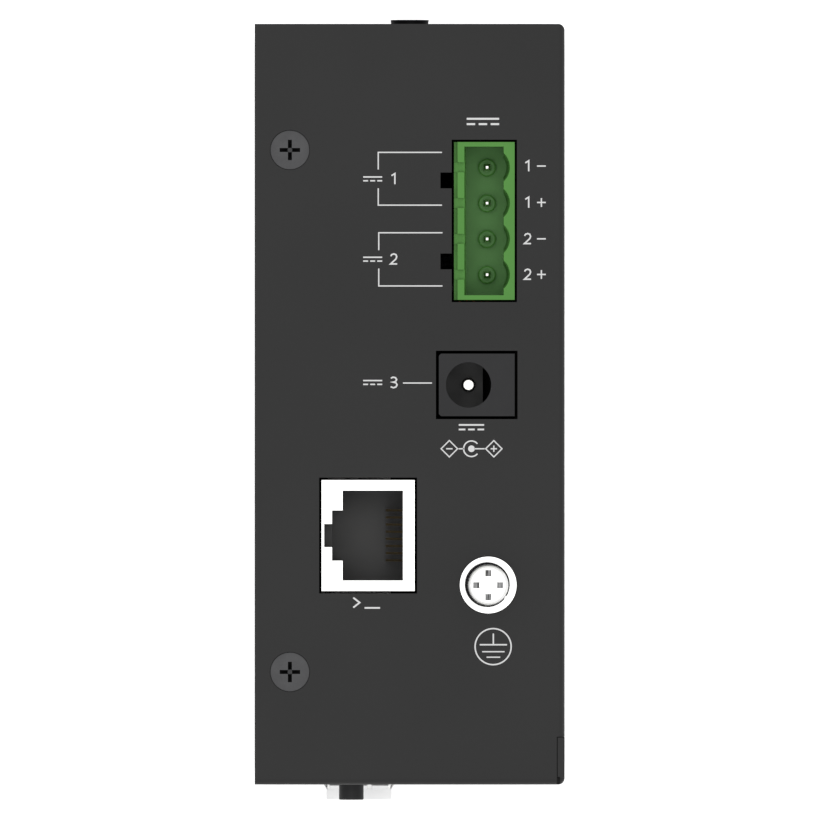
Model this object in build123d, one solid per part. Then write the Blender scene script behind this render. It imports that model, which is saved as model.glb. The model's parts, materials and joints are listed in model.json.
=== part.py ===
from build123d import *
import os

# Frame: X to the right, Y to the back, Z up. Origin at the centre of the base face. Sizes in mm.

# Enclosure: one folded sheet and a folded cover on its left side
width = 44.0
depth = 108.0
height = 135.0
sheet = 1.0
bend_inner = 0.05
bend_outer = 0.9
seam = 0.1
return_flange = 6.8
relief_width = 0.45
relief_length = 1.0
cover_flange = 6.6

# Countersunk M3 screws of the cover, and low headed M3 screws at the rail clip's place
csk_shank = 3.0
csk_head = 5.6
csk_length = 6.0
csk_sink = 0.05
csk_cross = 2.9
csk_cross_floor = 0.62
csk_cross_arm = 0.5
csk_cross_depth = 1.1
screw_gap = 0.06
boss_wall = 0.8
boss_drop = 1.4
cover_screw_inset = 5.0
cover_screw_from_back = 17.9
cover_screw_from_front = 16.0
clip_screw_head = 5.46
clip_screw_flare = 0.12
clip_screw_height = 0.76
clip_screw_length = 5.0
clip_screw_cross_depth = 0.6
clip_screw_pitch = 52.0
clip_screw_count = 3
clinch_nut = 6.0
clinch_nut_height = 2.0

# Boards and the stack of spacers that carries them
board = 1.6
main_inset = 9.5
power_inset = 7.1
board_edge_gap = 1.4
stack_from_front = 12.0
stack_from_back = 9.0
stack_from_base = 7.0
stack_from_top = 8.5
stack_across = 5.5
stack_thread = 3.0
stack_hole = 3.3
stack_stud_length = 5.0
stack_screw_length = 5.0
stack_screw_head = 5.4
stack_screw_head_height = 1.8
stack_screw_head_round = 0.5
stack_cross = 2.7
stack_cross_floor = 0.7

# Terminal header, four poles at 5.08
poles = 4
pole_pitch = 5.08
header_end = 1.04
header_height = 8.6
header_depth = 12.0
header_sink = 0.1
header_from_back = 27.97
header_gap = 0.33
header_end_wall = 0.65
header_board_wall = 1.55
header_outer_wall = 1.7
header_ledge = 0.5
header_ledge_depth = 1.0
header_pocket_depth = 8.4
header_draft = 0.25
header_draft_depth = 3.0
header_pin_height = 3.9
scallop_radius = 2.76
scallop_wall = 0.66
scallop_draft = 0.45
rib_width = 1.42
rib_sink = 0.8
collar_diameter = 2.55
collar_height = 0.9
collar_edge = 0.2
terminal_pin = 1.0
terminal_pin_sink = 1.6
terminal_pin_tip = 0.25
terminal_pin_behind = 3.0
solder_tail = 1.0
panel_notch_depth = 1.6
panel_notch_width = 2.25
panel_notch_spacing = 11.5

# Power jack for a round plug
jack_height = 10.75
jack_width = 8.87
jack_depth = 14.2
jack_flange_depth = 3.4
jack_corner = 0.3
jack_body_inset = 0.6
jack_body_lower = 1.0
jack_body_round = 3.2
jack_from_back = 51.25
jack_axis_height = 6.54
jack_bore = 6.45
jack_bore_depth = 9.2
jack_gap = 0.42
jack_pin = 2.05
jack_pin_tip = 0.45
jack_pin_sink = 0.9
jack_slot_from_axis = 2.05
jack_slot_width = 5.0
jack_slot_across = 1.5
jack_slot_lip = 1.2
jack_slot_below = 3.0
jack_leaf = 0.35
jack_leaf_width = 3.4
jack_leaf_from_axis = 3.0
jack_leaf_sink = 5.0
jack_tail = 0.8
jack_tail_width = 2.2
jack_tail_behind = 1.2

# Modular sockets: one in the top and one for each front port
socket_height = 13.2
socket_width = 15.75
socket_depth = 21.0
socket_skin = 0.25
socket_sink = 0.1
socket_gap = 0.35
mouth_width = 12.78
mouth_low = 2.98
mouth_high = 11.55
step_width = 7.14
step_low = 1.48
latch_width = 3.29
latch_low = 0.36
mouth_depth = 13.5
latch_depth = 9.0
contact_count = 8
contact_pitch = 1.016
contact_wire = 0.32
contact_slot = 0.5
contact_front = 3.0
contact_back = 11.5
contact_roof = 0.95
contact_lift = 0.2
contact_dip = 2.3
contact_tail_from_back = 3.0
console_from_front = 35.37
port_count = 4
port_spacing = 1.65
port_lowest = 19.0

# Transceiver cages
cage_count = 2
cage_spacing = 1.55
cage_over_port = 1.2
cage_height = 9.0
cage_width = 14.25
cage_length = 47.0
cage_skin = 0.3
cage_stand = 0.76
cage_proud = 2.55
cage_gap = 0.45
cage_leg = 1.0
cage_leg_count = 4
cage_leg_first = 8.0
cage_leg_pitch = 11.0
collar_skin = 0.15
collar_front = 0.1
collar_band = 1.5
collar_bulge = 0.5
collar_bulge_at = 2.1
collar_neck = 0.22
collar_length = 4.6
finger_gap = 0.7
fingers_across = 4
fingers_high = 3
edge_connector_front = 36.0
edge_connector_length = 9.0
edge_connector_height = 6.0
edge_connector_side = 0.925
edge_connector_slot = 1.6
edge_connector_slot_end = 1.0
edge_connector_slot_depth = 5.0
edge_connector_gap = 0.3

# Reset switch
reset_below_top = 9.0
reset_axis_height = 4.2
reset_button_size = 3.5
reset_button_edge = 0.1
reset_proud = 2.25
reset_hole_gap = 0.3
reset_behind_panel = 2.2
reset_case_width = 6.4
reset_case_height = 7.2
reset_case_depth = 3.6
reset_plate = 0.3
reset_leg = 0.8
reset_guide_gap = 0.1
reset_collar = 4.6
reset_collar_height = 0.6
reset_collar_gap = 0.1
reset_travel = 0.25
reset_overtravel = 0.15
reset_dome_rise = 0.35
reset_dome_sheet = 0.12
reset_dome_size = 4.4
reset_pocket_gap = 0.15

# Indicator lamps
lamp_size = 3.0
lamp_gap = 0.15
lamp_pitch = 4.4
lamp_first_height = 3.0
lamps_in_row = 2
lamp_proud = 0.05
lamp_round = 0.4
lamp_seat = 1.5
lamp_holder_depth = 5.0
lamp_holder_wall = 0.9
lamp_behind_panel = 0.6

# Ground screw with its washers
ground_from_right = 10.85
ground_from_front = 28.35
ground_shank = 4.0
ground_length = 8.0
ground_head = 5.8
ground_head_height = 2.4
ground_head_round = 0.6
ground_cross = 4.3
ground_cross_floor = 2.5
ground_cross_arm = 0.85
ground_cross_depth = 0.9
ground_gap = 0.1
flat_washer = 8.04
flat_washer_thickness = 0.8
spring_washer = 6.35
spring_washer_play = 0.18
spring_washer_shift = (-0.13, 0.06)
spring_washer_thickness = 0.9
spring_washer_split = 0.6
spring_washer_turn = -35
ground_nut = 6.4
ground_nut_height = 2.4

# Parts on the boards
chip_size = 20.0
chip_thickness = 1.8
chip_y = 6.0
chip_z = 52.0
sink_size = 26.0
sink_base = 2.0
sink_fin = 1.2
sink_fin_height = 7.0
sink_fin_count = 7
driver_size = 9.0
driver_thickness = 1.2
driver_z = 88.0
coil_block_length = 15.0
coil_block_depth = 12.0
coil_block_height = 6.0
coil_block_round = 0.6
coil_block_behind = 3.0
capacitor_size = 12.0
capacitor_length = 18.0
capacitor_round = 1.0
capacitor_pitch = 15.0
capacitor_count = 2
capacitor_from_back = 32.0
capacitor_z = 72.0
toroid_outer = 16.0
toroid_inner = 7.0
toroid_thickness = 7.0
toroid_round = 1.5
toroid_base = 1.5
toroid_base_size = 17.0
toroid_from_back = 32.0
toroid_z = 44.0
link_length = 24.0
link_depth = 6.0
link_height = 7.0
link_from_back = 24.0
link_z = 22.0
ribbon = 0.9
ribbon_width = 20.0
ribbon_grip = 4.0

# Places worked out from the driving sizes
left = -width / 2
right = width / 2
front = -depth / 2
back = depth / 2
inner_left = left + sheet
inner_right = right - sheet
inner_front = front + sheet
inner_back = back - sheet
inner_top = height - sheet
main_face = left + main_inset
power_face = right - power_inset
flange_end = front + return_flange
cover_flange_end = inner_left + cover_flange
cover_screw_x = left + cover_screw_inset
cover_screw_y = (back - cover_screw_from_back, front + cover_screw_from_front)
clip_screw_lowest = (height - clip_screw_pitch * (clip_screw_count - 1)) / 2
clip_screw_z = [clip_screw_lowest + index * clip_screw_pitch for index in range(clip_screw_count)]
csk_head_depth = (csk_head - csk_shank) / 2
board_y = (inner_front + board_edge_gap, inner_back - board_edge_gap)
board_z = (sheet + board_edge_gap, inner_top - board_edge_gap)
stack_y = (front + stack_from_front, back - stack_from_back)
stack_z = (stack_from_base, height - stack_from_top)
stack_places = [(y, z) for y in stack_y for z in stack_z]
tail_end = board + solder_tail
header_y = back - header_from_back
header_length = poles * pole_pitch + 2 * header_end
header_left = power_face - header_height
header_top = height - header_sink
header_floor = header_top - header_pocket_depth
header_pin_x = power_face - header_pin_height
pin_y = [header_y + (index - (poles - 1) / 2) * pole_pitch for index in range(poles)]
contact_y = [(index - (contact_count - 1) / 2) * contact_pitch for index in range(contact_count)]
jack_y = back - jack_from_back
jack_axis_x = power_face - jack_axis_height
jack_left = power_face - jack_height
jack_floor = header_top - jack_bore_depth
jack_bottom = header_top - jack_depth
console_y = front + console_from_front
port_pitch = socket_width + port_spacing
port_z = [port_lowest + index * port_pitch for index in range(port_count)]
cage_pitch = cage_width + cage_spacing
cage_lowest = port_z[-1] + (socket_width + cage_width) / 2 + cage_over_port
cage_z = [cage_lowest + index * cage_pitch for index in range(cage_count)]
edge_connector_width = cage_width - 2 * edge_connector_side
edge_connector_slot_width = edge_connector_width - 2 * edge_connector_slot_end
capacitor_y = back - capacitor_from_back
toroid_y = back - toroid_from_back
link_y = back - link_from_back
reset_z = height - reset_below_top
ground_x = right - ground_from_right
ground_y = front + ground_from_front
lamp_rows = port_z + cage_z + [reset_z]
lamp_x = [power_face - lamp_first_height - index * lamp_pitch for index in range(lamps_in_row)]


def block(x, y, z):
    """A box from its two ends along each axis."""
    middle = Pos(sum(x) / 2, sum(y) / 2, sum(z) / 2)
    return middle * Box(abs(x[1] - x[0]), abs(y[1] - y[0]), abs(z[1] - z[0]))


def around(place, size):
    """The two ends of a length that is centred on a place."""
    return (place - size / 2, place + size / 2)


def along_x(outline, x):
    """An outline drawn in Y and Z, made solid from x[0] to x[1]."""
    return extrude(Plane.YZ.offset(x[0]) * outline, x[1] - x[0])


def along_y(outline, y):
    """An outline drawn in X and Z, made solid from y[0] to y[1]."""
    return extrude(Plane.XZ.offset(-y[1]) * outline, y[1] - y[0])


def along_z(outline, z):
    """An outline drawn in X and Y, made solid from z[0] to z[1]."""
    return extrude(Plane.XY.offset(z[0]) * outline, z[1] - z[0])


def rectangle(u, v):
    """A rectangle from its two ends each way."""
    return Pos(sum(u) / 2, sum(v) / 2) * Rectangle(u[1] - u[0], v[1] - v[0])


def hexagon(across):
    """A hexagon with two sides facing left and right, given its size across the flats."""
    return Rot(0, 0, 90) * RegularPolygon(across / 2, 6, major_radius=False)


def bent_box(x, y, z, radius):
    """A box with rounded folds all round its right side and along its top front edge."""
    body = block(x, y, z)
    folds = body.faces().sort_by(Axis.X)[-1].edges()
    folds += body.edges().filter_by(Axis.X).group_by(Axis.Z)[-1].sort_by(Axis.Y)[0:1]
    return fillet(folds, radius)


def cross_recess(size, floor, arm, recess_depth):
    """A cross slot whose arms slope from its tips to a flat floor, its mouth at the origin and looking up."""
    mouth = Rectangle(size, arm).face()
    root = Plane.XY.offset(-recess_depth) * Rectangle(floor, arm).face()
    slot = loft([root, mouth])
    return slot + Rot(0, 0, 90) * slot


def csk_screw():
    """A countersunk screw, its head's face at the origin and looking up."""
    head = Pos(0, 0, -csk_head_depth / 2) * Cone(csk_shank / 2, csk_head / 2, csk_head_depth)
    shank = along_z(Circle(csk_shank / 2), (-csk_length, -csk_head_depth))
    return head + shank - cross_recess(csk_cross, csk_cross_floor, csk_cross_arm, csk_cross_depth)


def clip_screw():
    """A low headed screw, its head's seat at the origin and looking up."""
    wide = clip_screw_head / 2
    head = Pos(0, 0, clip_screw_height / 2) * Cone(wide - clip_screw_flare, wide, clip_screw_height)
    shank = along_z(Circle(csk_shank / 2), (-clip_screw_length, 0))
    recess = cross_recess(csk_cross, csk_cross_floor, csk_cross_arm, clip_screw_cross_depth)
    return head + shank - Pos(0, 0, clip_screw_height) * recess


def csk_space():
    """The hole that a countersunk screw needs through the sheets under its head."""
    wide = csk_head / 2 + screw_gap
    narrow = csk_shank / 2 + screw_gap
    cone = Pos(0, 0, -csk_head_depth / 2) * Cone(narrow, wide, csk_head_depth)
    return cone + along_z(Circle(narrow), (-csk_length, 0)) + along_z(Circle(wide), (0, sheet))


def cover_screw_places():
    """Where the cover's screws sit: heads up in the top, heads down in the base."""
    top = [Pos(cover_screw_x, y, height - csk_sink) for y in cover_screw_y]
    base = [Pos(cover_screw_x, y, csk_sink) * Rot(180, 0, 0) for y in cover_screw_y]
    return top, base


def clip_screw_places():
    """Where the rail clip's screws sit: heads looking back."""
    return [Pos(0, back, z) * Rot(-90, 0, 0) for z in clip_screw_z]


def port_place(z, y):
    """A part drawn mouth up, laid so that its mouth looks out of the front."""
    return Pos(main_face, y, z) * Rot(90, 0, 0)


def make_chassis():
    """Top, right wall, base, front with its return flange, and back: one folded sheet."""
    outside = bent_box((left, right), (front, back), (0, height), bend_outer)
    hollow = bent_box((left - sheet, inner_right), (inner_front, inner_back), (sheet, inner_top), bend_inner)
    for edge_z in ((0, bend_outer), (height - bend_outer, height)):
        outside += block((inner_right, right), (front + bend_outer, flange_end), edge_z)
    body = outside - hollow
    side_gap = block((left - sheet, inner_left + seam), (front - sheet, back + sheet), (sheet, inner_top))
    body -= side_gap
    edge_seams = [
        block((inner_right - seam, right + sheet), (flange_end - seam, flange_end), (0, height)),
        block((inner_right - seam, inner_right), (front + bend_outer, flange_end), (inner_top, height)),
        block((inner_right - seam, inner_right), (inner_front, flange_end), (0, sheet)),
        block((left, inner_right), (inner_front, inner_front + seam), (0, sheet)),
        block((left, inner_right - bend_inner), (inner_back, back), (sheet, sheet + seam)),
        block((left, inner_right - bend_inner), (inner_back, back), (inner_top - seam, inner_top)),
    ]
    for gap in edge_seams:
        body -= gap
    relief_y = (front + seam, front + seam + relief_length)
    body -= block((inner_right - seam, inner_right - seam + relief_width), relief_y, (inner_top, height))
    body -= make_top_openings()
    body -= make_front_openings()
    top_screws, base_screws = cover_screw_places()
    for place in top_screws + base_screws:
        body -= place * csk_space()
    clip_hole = along_z(Circle(csk_shank / 2 + screw_gap), (-2 * sheet, sheet))
    for place in clip_screw_places():
        body -= place * clip_hole
    return body


def make_top_openings():
    """Cut-outs for the header, the power jack, the console socket and the ground screw."""
    through = (inner_top - sheet, height + sheet)
    header_x = (header_left - header_gap, power_face + header_gap)
    cuts = block(header_x, around(header_y, header_length + 2 * header_gap), through)
    for side in (-1, 1):
        notch_y = around(header_y + side * panel_notch_spacing / 2, panel_notch_width)
        cuts += block((header_x[0] - panel_notch_depth, header_x[0]), notch_y, through)
    jack_x = (jack_left - jack_gap, power_face + jack_gap)
    cuts += block(jack_x, around(jack_y, jack_width + 2 * jack_gap), through)
    socket_x = (main_face - socket_gap, main_face + socket_height + socket_gap)
    cuts += block(socket_x, around(console_y, socket_width + 2 * socket_gap), through)
    ground_hole = along_z(Circle(ground_shank / 2 + ground_gap), through)
    return cuts + Pos(ground_x, ground_y, 0) * ground_hole


def make_front_openings():
    """Cut-outs for the front ports, the cages, the reset button and the lamps."""
    through = (front - sheet, inner_front + sheet)
    socket_x = (main_face - socket_gap, main_face + socket_height + socket_gap)
    cage_low = main_face + cage_stand
    cage_x = (cage_low - cage_gap, cage_low + cage_height + cage_gap)
    cuts = [block(socket_x, through, around(z, socket_width + 2 * socket_gap)) for z in port_z]
    cuts += [block(cage_x, through, around(z, cage_width + 2 * cage_gap)) for z in cage_z]
    button_hole = Circle(reset_button_size / 2 + reset_hole_gap)
    cuts.append(along_y(Pos(main_face + reset_axis_height, reset_z) * button_hole, through))
    lamp_hole = Circle(lamp_size / 2 + lamp_gap)
    for z in lamp_rows:
        cuts += [along_y(Pos(x, z) * lamp_hole, through) for x in lamp_x]
    joined = cuts[0]
    for cut in cuts[1:]:
        joined += cut
    return joined


def make_side_cover():
    """The left wall, folded under the top and over the base, with drawn screw bosses."""
    outside = rectangle((left, cover_flange_end), (sheet, inner_top))
    outside = fillet(outside.vertices().group_by(Axis.X)[0], bend_outer)
    inside = rectangle((inner_left, cover_flange_end + sheet), (2 * sheet, inner_top - sheet))
    inside = fillet(inside.vertices().group_by(Axis.X)[0], bend_inner)
    body = along_y(outside - inside, (front, back))
    for ends in ((front, inner_front + seam), (inner_back - seam, back)):
        body -= block((inner_left, cover_flange_end), ends, (sheet, inner_top))
    boss = Circle(csk_shank / 2 + boss_wall)
    for y in cover_screw_y:
        body += Pos(cover_screw_x, y, 0) * along_z(boss, (inner_top - sheet - boss_drop, inner_top - sheet))
        body += Pos(cover_screw_x, y, 0) * along_z(boss, (2 * sheet, 2 * sheet + boss_drop))
    top_screws, base_screws = cover_screw_places()
    for place in top_screws + base_screws:
        body -= place * csk_space()
    return body


def make_clinch_nuts():
    """Round nuts pressed into the back wall for the rail clip's screws."""
    nut = along_z(Circle(clinch_nut / 2), (0, clinch_nut_height))
    nut -= along_z(Circle(csk_shank / 2 + screw_gap), (0, clinch_nut_height))
    return [Pos(0, inner_back, z) * Rot(90, 0, 0) * nut for z in clip_screw_z]


def make_board(face, other_face, cuts):
    """A circuit board between two faces, drilled for the stack and for the parts' tails."""
    body = block((face, other_face), board_y, board_z)
    for y, z in stack_places:
        body -= along_x(Pos(y, z) * Circle(stack_hole / 2), (min(face, other_face), max(face, other_face)))
    for cut in cuts:
        body -= cut
    return body


def make_wall_standoffs():
    """Threaded standoffs between the right wall and the power board."""
    outline = hexagon(stack_across) - Circle(stack_thread / 2 + screw_gap)
    span = (power_face + board, inner_right)
    return [along_x(Pos(y, z) * outline, span) for y, z in stack_places]


def make_board_spacers():
    """Long spacers from board to board, each with a stud through the power board."""
    spacers = []
    for y, z in stack_places:
        spacer = along_x(Pos(y, z) * hexagon(stack_across), (main_face, power_face))
        spacer += along_x(Pos(y, z) * Circle(stack_thread / 2), (power_face, power_face + stack_stud_length))
        thread = Circle(stack_thread / 2 + screw_gap)
        spacer -= along_x(Pos(y, z) * thread, (main_face, main_face + stack_screw_length))
        spacers.append(spacer)
    return spacers


def make_board_screws():
    """Pan head screws that hold the main board on the spacers."""
    head = along_z(Circle(stack_screw_head / 2), (0, stack_screw_head_height))
    head = chamfer(head.edges().group_by(Axis.Z)[-1], stack_screw_head_round)
    shank = along_z(Circle(stack_thread / 2), (-stack_screw_length, 0))
    recess = cross_recess(stack_cross, stack_cross_floor, csk_cross_arm, csk_cross_depth)
    screw = head + shank - Pos(0, 0, stack_screw_head_height) * recess
    return [Pos(main_face - board, y, z) * Rot(0, -90, 0) * screw for y, z in stack_places]


def make_terminal_header():
    """Moulded header: ribbed outer wall, scalloped board wall, a collar round each pin."""
    length = around(header_y, header_length)
    body = block((header_left, power_face), length, (header_top - header_depth, header_top))
    outer_wall = header_left + header_outer_wall
    ledge_z = (header_top - header_ledge_depth, header_top)
    ledge = block((header_left, header_left + header_ledge), length, ledge_z)
    for y in pin_y:
        ledge -= block((header_left, outer_wall), around(y, rib_width), (header_floor, header_top))
    body -= ledge
    pocket_x = (outer_wall, power_face - header_board_wall)
    pocket_y = around(header_y, header_length - 2 * header_end_wall)
    pocket = block(pocket_x, pocket_y, (header_floor, header_top))
    scallop_x = power_face - scallop_wall - scallop_radius
    scallop_shape = Cone(scallop_radius - scallop_draft, scallop_radius, header_pocket_depth)
    for y in pin_y:
        scallop = Pos(scallop_x, y, (header_floor + header_top) / 2) * scallop_shape
        pocket += scallop & block((pocket_x[0], power_face), pocket_y, (header_floor, header_top))
        body -= block((header_left, outer_wall), around(y, rib_width), (header_top - rib_sink, header_top))
    mouth = rectangle((pocket_x[0] - header_draft, pocket_x[1]), around(header_y, pocket_y[1] - pocket_y[0]))
    root = rectangle(pocket_x, pocket_y)
    draft_z = header_top - header_draft_depth
    body -= loft([Plane.XY.offset(draft_z) * root.face(), Plane.XY.offset(header_top) * mouth.face()])
    body -= pocket
    collar = along_z(Circle(collar_diameter / 2), (header_floor, header_floor + collar_height))
    collar = chamfer(collar.edges().group_by(Axis.Z)[-1], collar_edge)
    for y in pin_y:
        body += Pos(header_pin_x, y, 0) * collar
    for pin in make_terminal_pins():
        body -= pin
    return body


def make_terminal_pins():
    """Square pins that bend down behind the header and go through the power board."""
    end = header_top - header_depth - terminal_pin_behind
    upright = block(around(0, terminal_pin), around(0, terminal_pin), (end, header_top - terminal_pin_sink))
    upright = chamfer(upright.faces().sort_by(Axis.Z)[-1].edges(), terminal_pin_tip)
    reach = header_pin_height + tail_end
    tail = block((-terminal_pin / 2, reach), around(0, terminal_pin), (end, end + terminal_pin))
    return [Pos(header_pin_x, y, 0) * (upright + tail) for y in pin_y]


def make_jack_leaf():
    """The sprung contact for the plug's sleeve, with its tail in the power board."""
    leaf_x = (jack_axis_x + jack_leaf_from_axis, jack_axis_x + jack_leaf_from_axis + jack_leaf)
    leaf_end = jack_floor - jack_tail
    leaf = block(leaf_x, around(jack_y, jack_leaf_width), (leaf_end, header_top - jack_leaf_sink))
    tail_x = (leaf_x[0], power_face + tail_end)
    tail = block(tail_x, around(jack_y, jack_tail_width), (leaf_end, leaf_end + jack_tail))
    return leaf + tail


def make_jack_pin():
    """The centre pin with a bevelled tip and a flat tail behind the housing."""
    end = jack_bottom - jack_tail_behind
    top = header_top - jack_pin_sink
    pin = along_z(Circle(jack_pin / 2), (end, top))
    pin = chamfer(pin.edges().group_by(Axis.Z)[-1], jack_pin_tip)
    tail_x = (0, jack_axis_height + tail_end)
    tail = block(tail_x, around(0, jack_tail_width), (end, end + jack_tail))
    return Pos(jack_axis_x, jack_y, 0) * (pin + tail)


def make_jack_housing():
    """Moulded housing: square flange, rounded body, bore and the slot for the leaf."""
    flange = rectangle((jack_left, power_face), around(jack_y, jack_width))
    flange = chamfer(flange.vertices().group_by(Axis.X)[0], jack_corner)
    body = along_z(flange, (header_top - jack_flange_depth, header_top))
    rear_y = around(jack_y, jack_width - 2 * jack_body_inset)
    rear = rectangle((jack_left + jack_body_lower, power_face), rear_y)
    rear = fillet(rear.vertices().group_by(Axis.X)[0], jack_body_round)
    body += along_z(rear, (jack_bottom, header_top - jack_flange_depth))
    body -= Pos(jack_axis_x, jack_y, 0) * along_z(Circle(jack_bore / 2), (jack_floor, header_top))
    slot_x = (jack_axis_x + jack_slot_from_axis, jack_axis_x + jack_slot_from_axis + jack_slot_across)
    slot_z = (jack_floor - jack_slot_below, header_top - jack_slot_lip)
    body -= block(slot_x, around(jack_y, jack_slot_width), slot_z)
    return body - make_jack_leaf() - make_jack_pin()


def socket_mouth():
    """The stepped mouth of a socket: height above the board along X, mouth looking up."""
    main = block((mouth_low, mouth_high), around(0, mouth_width), (-mouth_depth, socket_skin))
    step = block((step_low, mouth_low), around(0, step_width), (-mouth_depth, socket_skin))
    latch = block((latch_low, step_low), around(0, latch_width), (-latch_depth, socket_skin))
    return main + step + latch


def make_socket_contacts():
    """Sprung wires: from the board up the back, along the roof and back into the mouth."""
    roof = mouth_high + contact_roof
    back_leg = contact_tail_from_back - socket_depth
    path = [
        (-tail_end, back_leg),
        (roof, back_leg),
        (roof, -contact_front),
        (mouth_high + contact_lift, -contact_front),
        (mouth_high - contact_dip, -contact_back),
    ]
    outline = trace(Polyline(*path).edges(), contact_wire)
    wire = along_y(outline, around(0, contact_wire))
    return [Pos(0, y, 0) * wire for y in contact_y]


def make_socket_insert(wires):
    """The moulded body of a socket, with its mouth and a comb slot for each wire."""
    inner = (0, socket_height - socket_skin)
    body = block(inner, around(0, socket_width - 2 * socket_skin), (socket_skin - socket_depth, -socket_skin))
    body -= socket_mouth()
    roof = mouth_high + contact_roof + contact_wire / 2
    comb_z = (-contact_back, contact_slot - contact_front)
    for y in contact_y:
        body -= block((mouth_high, roof), around(y, contact_slot), comb_z)
    for wire in wires:
        body -= wire
    return body


def make_socket_shield():
    """The folded metal skin over the front, sides, roof and back of a socket."""
    body = block((0, socket_height), around(0, socket_width), (-socket_depth, 0))
    inner_x = (-socket_skin, socket_height - socket_skin)
    inner_width = around(0, socket_width - 2 * socket_skin)
    body -= block(inner_x, inner_width, (socket_skin - socket_depth, -socket_skin))
    return body - socket_mouth()


def make_cage():
    """The folded transceiver cage: open mouth, closed back, board legs, connector window."""
    high = (cage_stand, cage_stand + cage_height)
    body = block(high, around(0, cage_width), (-cage_length, 0))
    inside = (high[0] + cage_skin, high[1] - cage_skin)
    inner_width = around(0, cage_width - 2 * cage_skin)
    body -= block(inside, inner_width, (cage_skin - cage_length, cage_skin))
    window = around(0, edge_connector_width + 2 * edge_connector_gap)
    window_end = edge_connector_front + edge_connector_length + edge_connector_gap
    body -= block((0, inside[0]), window, (-window_end, edge_connector_gap - edge_connector_front))
    for side in (-1, 1):
        leg_y = side * (cage_width - cage_skin) / 2
        for index in range(cage_leg_count):
            leg_z = around(-cage_leg_first - index * cage_leg_pitch, cage_leg)
            body += block((-tail_end, high[0]), around(leg_y, cage_skin), leg_z)
    return body


def make_cage_collar():
    """A thin band round the cage's mouth with sprung fingers that bulge outwards."""
    high = (cage_stand, cage_stand + cage_height)
    band = (-collar_front - collar_band, -collar_front)
    outer_x = (high[0] - collar_skin, high[1] + collar_skin)
    outer = block(outer_x, around(0, cage_width + 2 * collar_skin), band)
    body = outer - block(high, around(0, cage_width), band)
    rise = collar_skin / 2
    path = [
        (rise, -collar_front - collar_band / 2),
        (rise, -collar_front - collar_band),
        (collar_bulge - rise, -collar_bulge_at),
        (collar_neck, -cage_proud),
        (rise, -collar_length),
    ]
    outline = trace(Polyline(*path).edges(), collar_skin)
    pitch_across = cage_width / fingers_across
    finger = along_y(outline, around(0, pitch_across - finger_gap))
    for index in range(fingers_across):
        place = (index - (fingers_across - 1) / 2) * pitch_across
        body += Pos(high[1], place, 0) * finger
        body += Pos(high[0], place, 0) * Rot(0, 0, 180) * finger
    pitch_high = cage_height / fingers_high
    finger = along_y(outline, around(0, pitch_high - finger_gap))
    for index in range(fingers_high):
        place = sum(high) / 2 + (index - (fingers_high - 1) / 2) * pitch_high
        body += Pos(place, cage_width / 2, 0) * Rot(0, 0, 90) * finger
        body += Pos(place, -cage_width / 2, 0) * Rot(0, 0, -90) * finger
    return body


def make_edge_connector():
    """The board connector inside a cage, its slot looking out of the mouth."""
    length = (-edge_connector_front - edge_connector_length, -edge_connector_front)
    body = block((0, edge_connector_height), around(0, edge_connector_width), length)
    slot = around(edge_connector_height / 2 + cage_stand, edge_connector_slot)
    slot_z = (-edge_connector_front - edge_connector_slot_depth, -edge_connector_front)
    return body - block(slot, around(0, edge_connector_slot_width), slot_z)


def make_reset_case():
    """The moulded base of the switch, with the pocket for the dome and the button's collar."""
    body = block((0, reset_case_height), around(0, reset_case_width), (-reset_case_depth, -reset_plate))
    pocket = Circle(reset_collar / 2 + reset_pocket_gap)
    return body - Pos(reset_axis_height, 0, 0) * along_z(pocket, (reset_dome_base(), -reset_plate))


def reset_dome_base():
    """The floor of the switch's pocket, under the dome at rest."""
    collar_end = -reset_plate - reset_collar_gap - reset_collar_height
    return collar_end - reset_travel - reset_overtravel - reset_dome_rise


def make_reset_plate():
    """The metal plate over the switch's front, with two legs into the main board."""
    body = block((0, reset_case_height), around(0, reset_case_width), (-reset_plate, 0))
    for side in (-1, 1):
        leg_y = around(side * (reset_case_width - reset_leg) / 2, reset_leg)
        body += block((-tail_end, 0), leg_y, (-reset_plate, 0))
    guide = Circle(reset_button_size / 2 + reset_guide_gap)
    return body - Pos(reset_axis_height, 0, 0) * along_z(guide, (-reset_plate, 0))


def make_reset_dome():
    """The sprung steel dome that the button presses."""
    base = reset_dome_base()
    edge = reset_dome_size / 2
    curve = (edge**2 + reset_dome_rise**2) / (2 * reset_dome_rise)
    centre = base + reset_dome_rise - curve
    arc = ThreePointArc((-edge, base), (0, base + reset_dome_rise), (edge, base))
    upper = make_face(Curve() + [arc, Line((edge, base), (-edge, base))])
    lower = Pos(0, centre) * Circle(curve - reset_dome_sheet)
    half = rectangle((0, edge), (base, base + reset_dome_rise))
    band = (upper - lower) & half
    dome = revolve(Plane.XZ * band, Axis.Z)
    return Pos(reset_axis_height, 0, 0) * dome


def make_reset_button():
    """The round button with the collar that keeps it behind the plate."""
    tip = reset_proud + sheet + reset_behind_panel
    collar_top = -reset_plate - reset_collar_gap
    stem = along_z(Circle(reset_button_size / 2), (collar_top, tip))
    stem = chamfer(stem.edges().group_by(Axis.Z)[-1], reset_button_edge)
    collar = along_z(Circle(reset_collar / 2), (collar_top - reset_collar_height, collar_top))
    return Pos(reset_axis_height, 0, 0) * (stem + collar)


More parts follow.
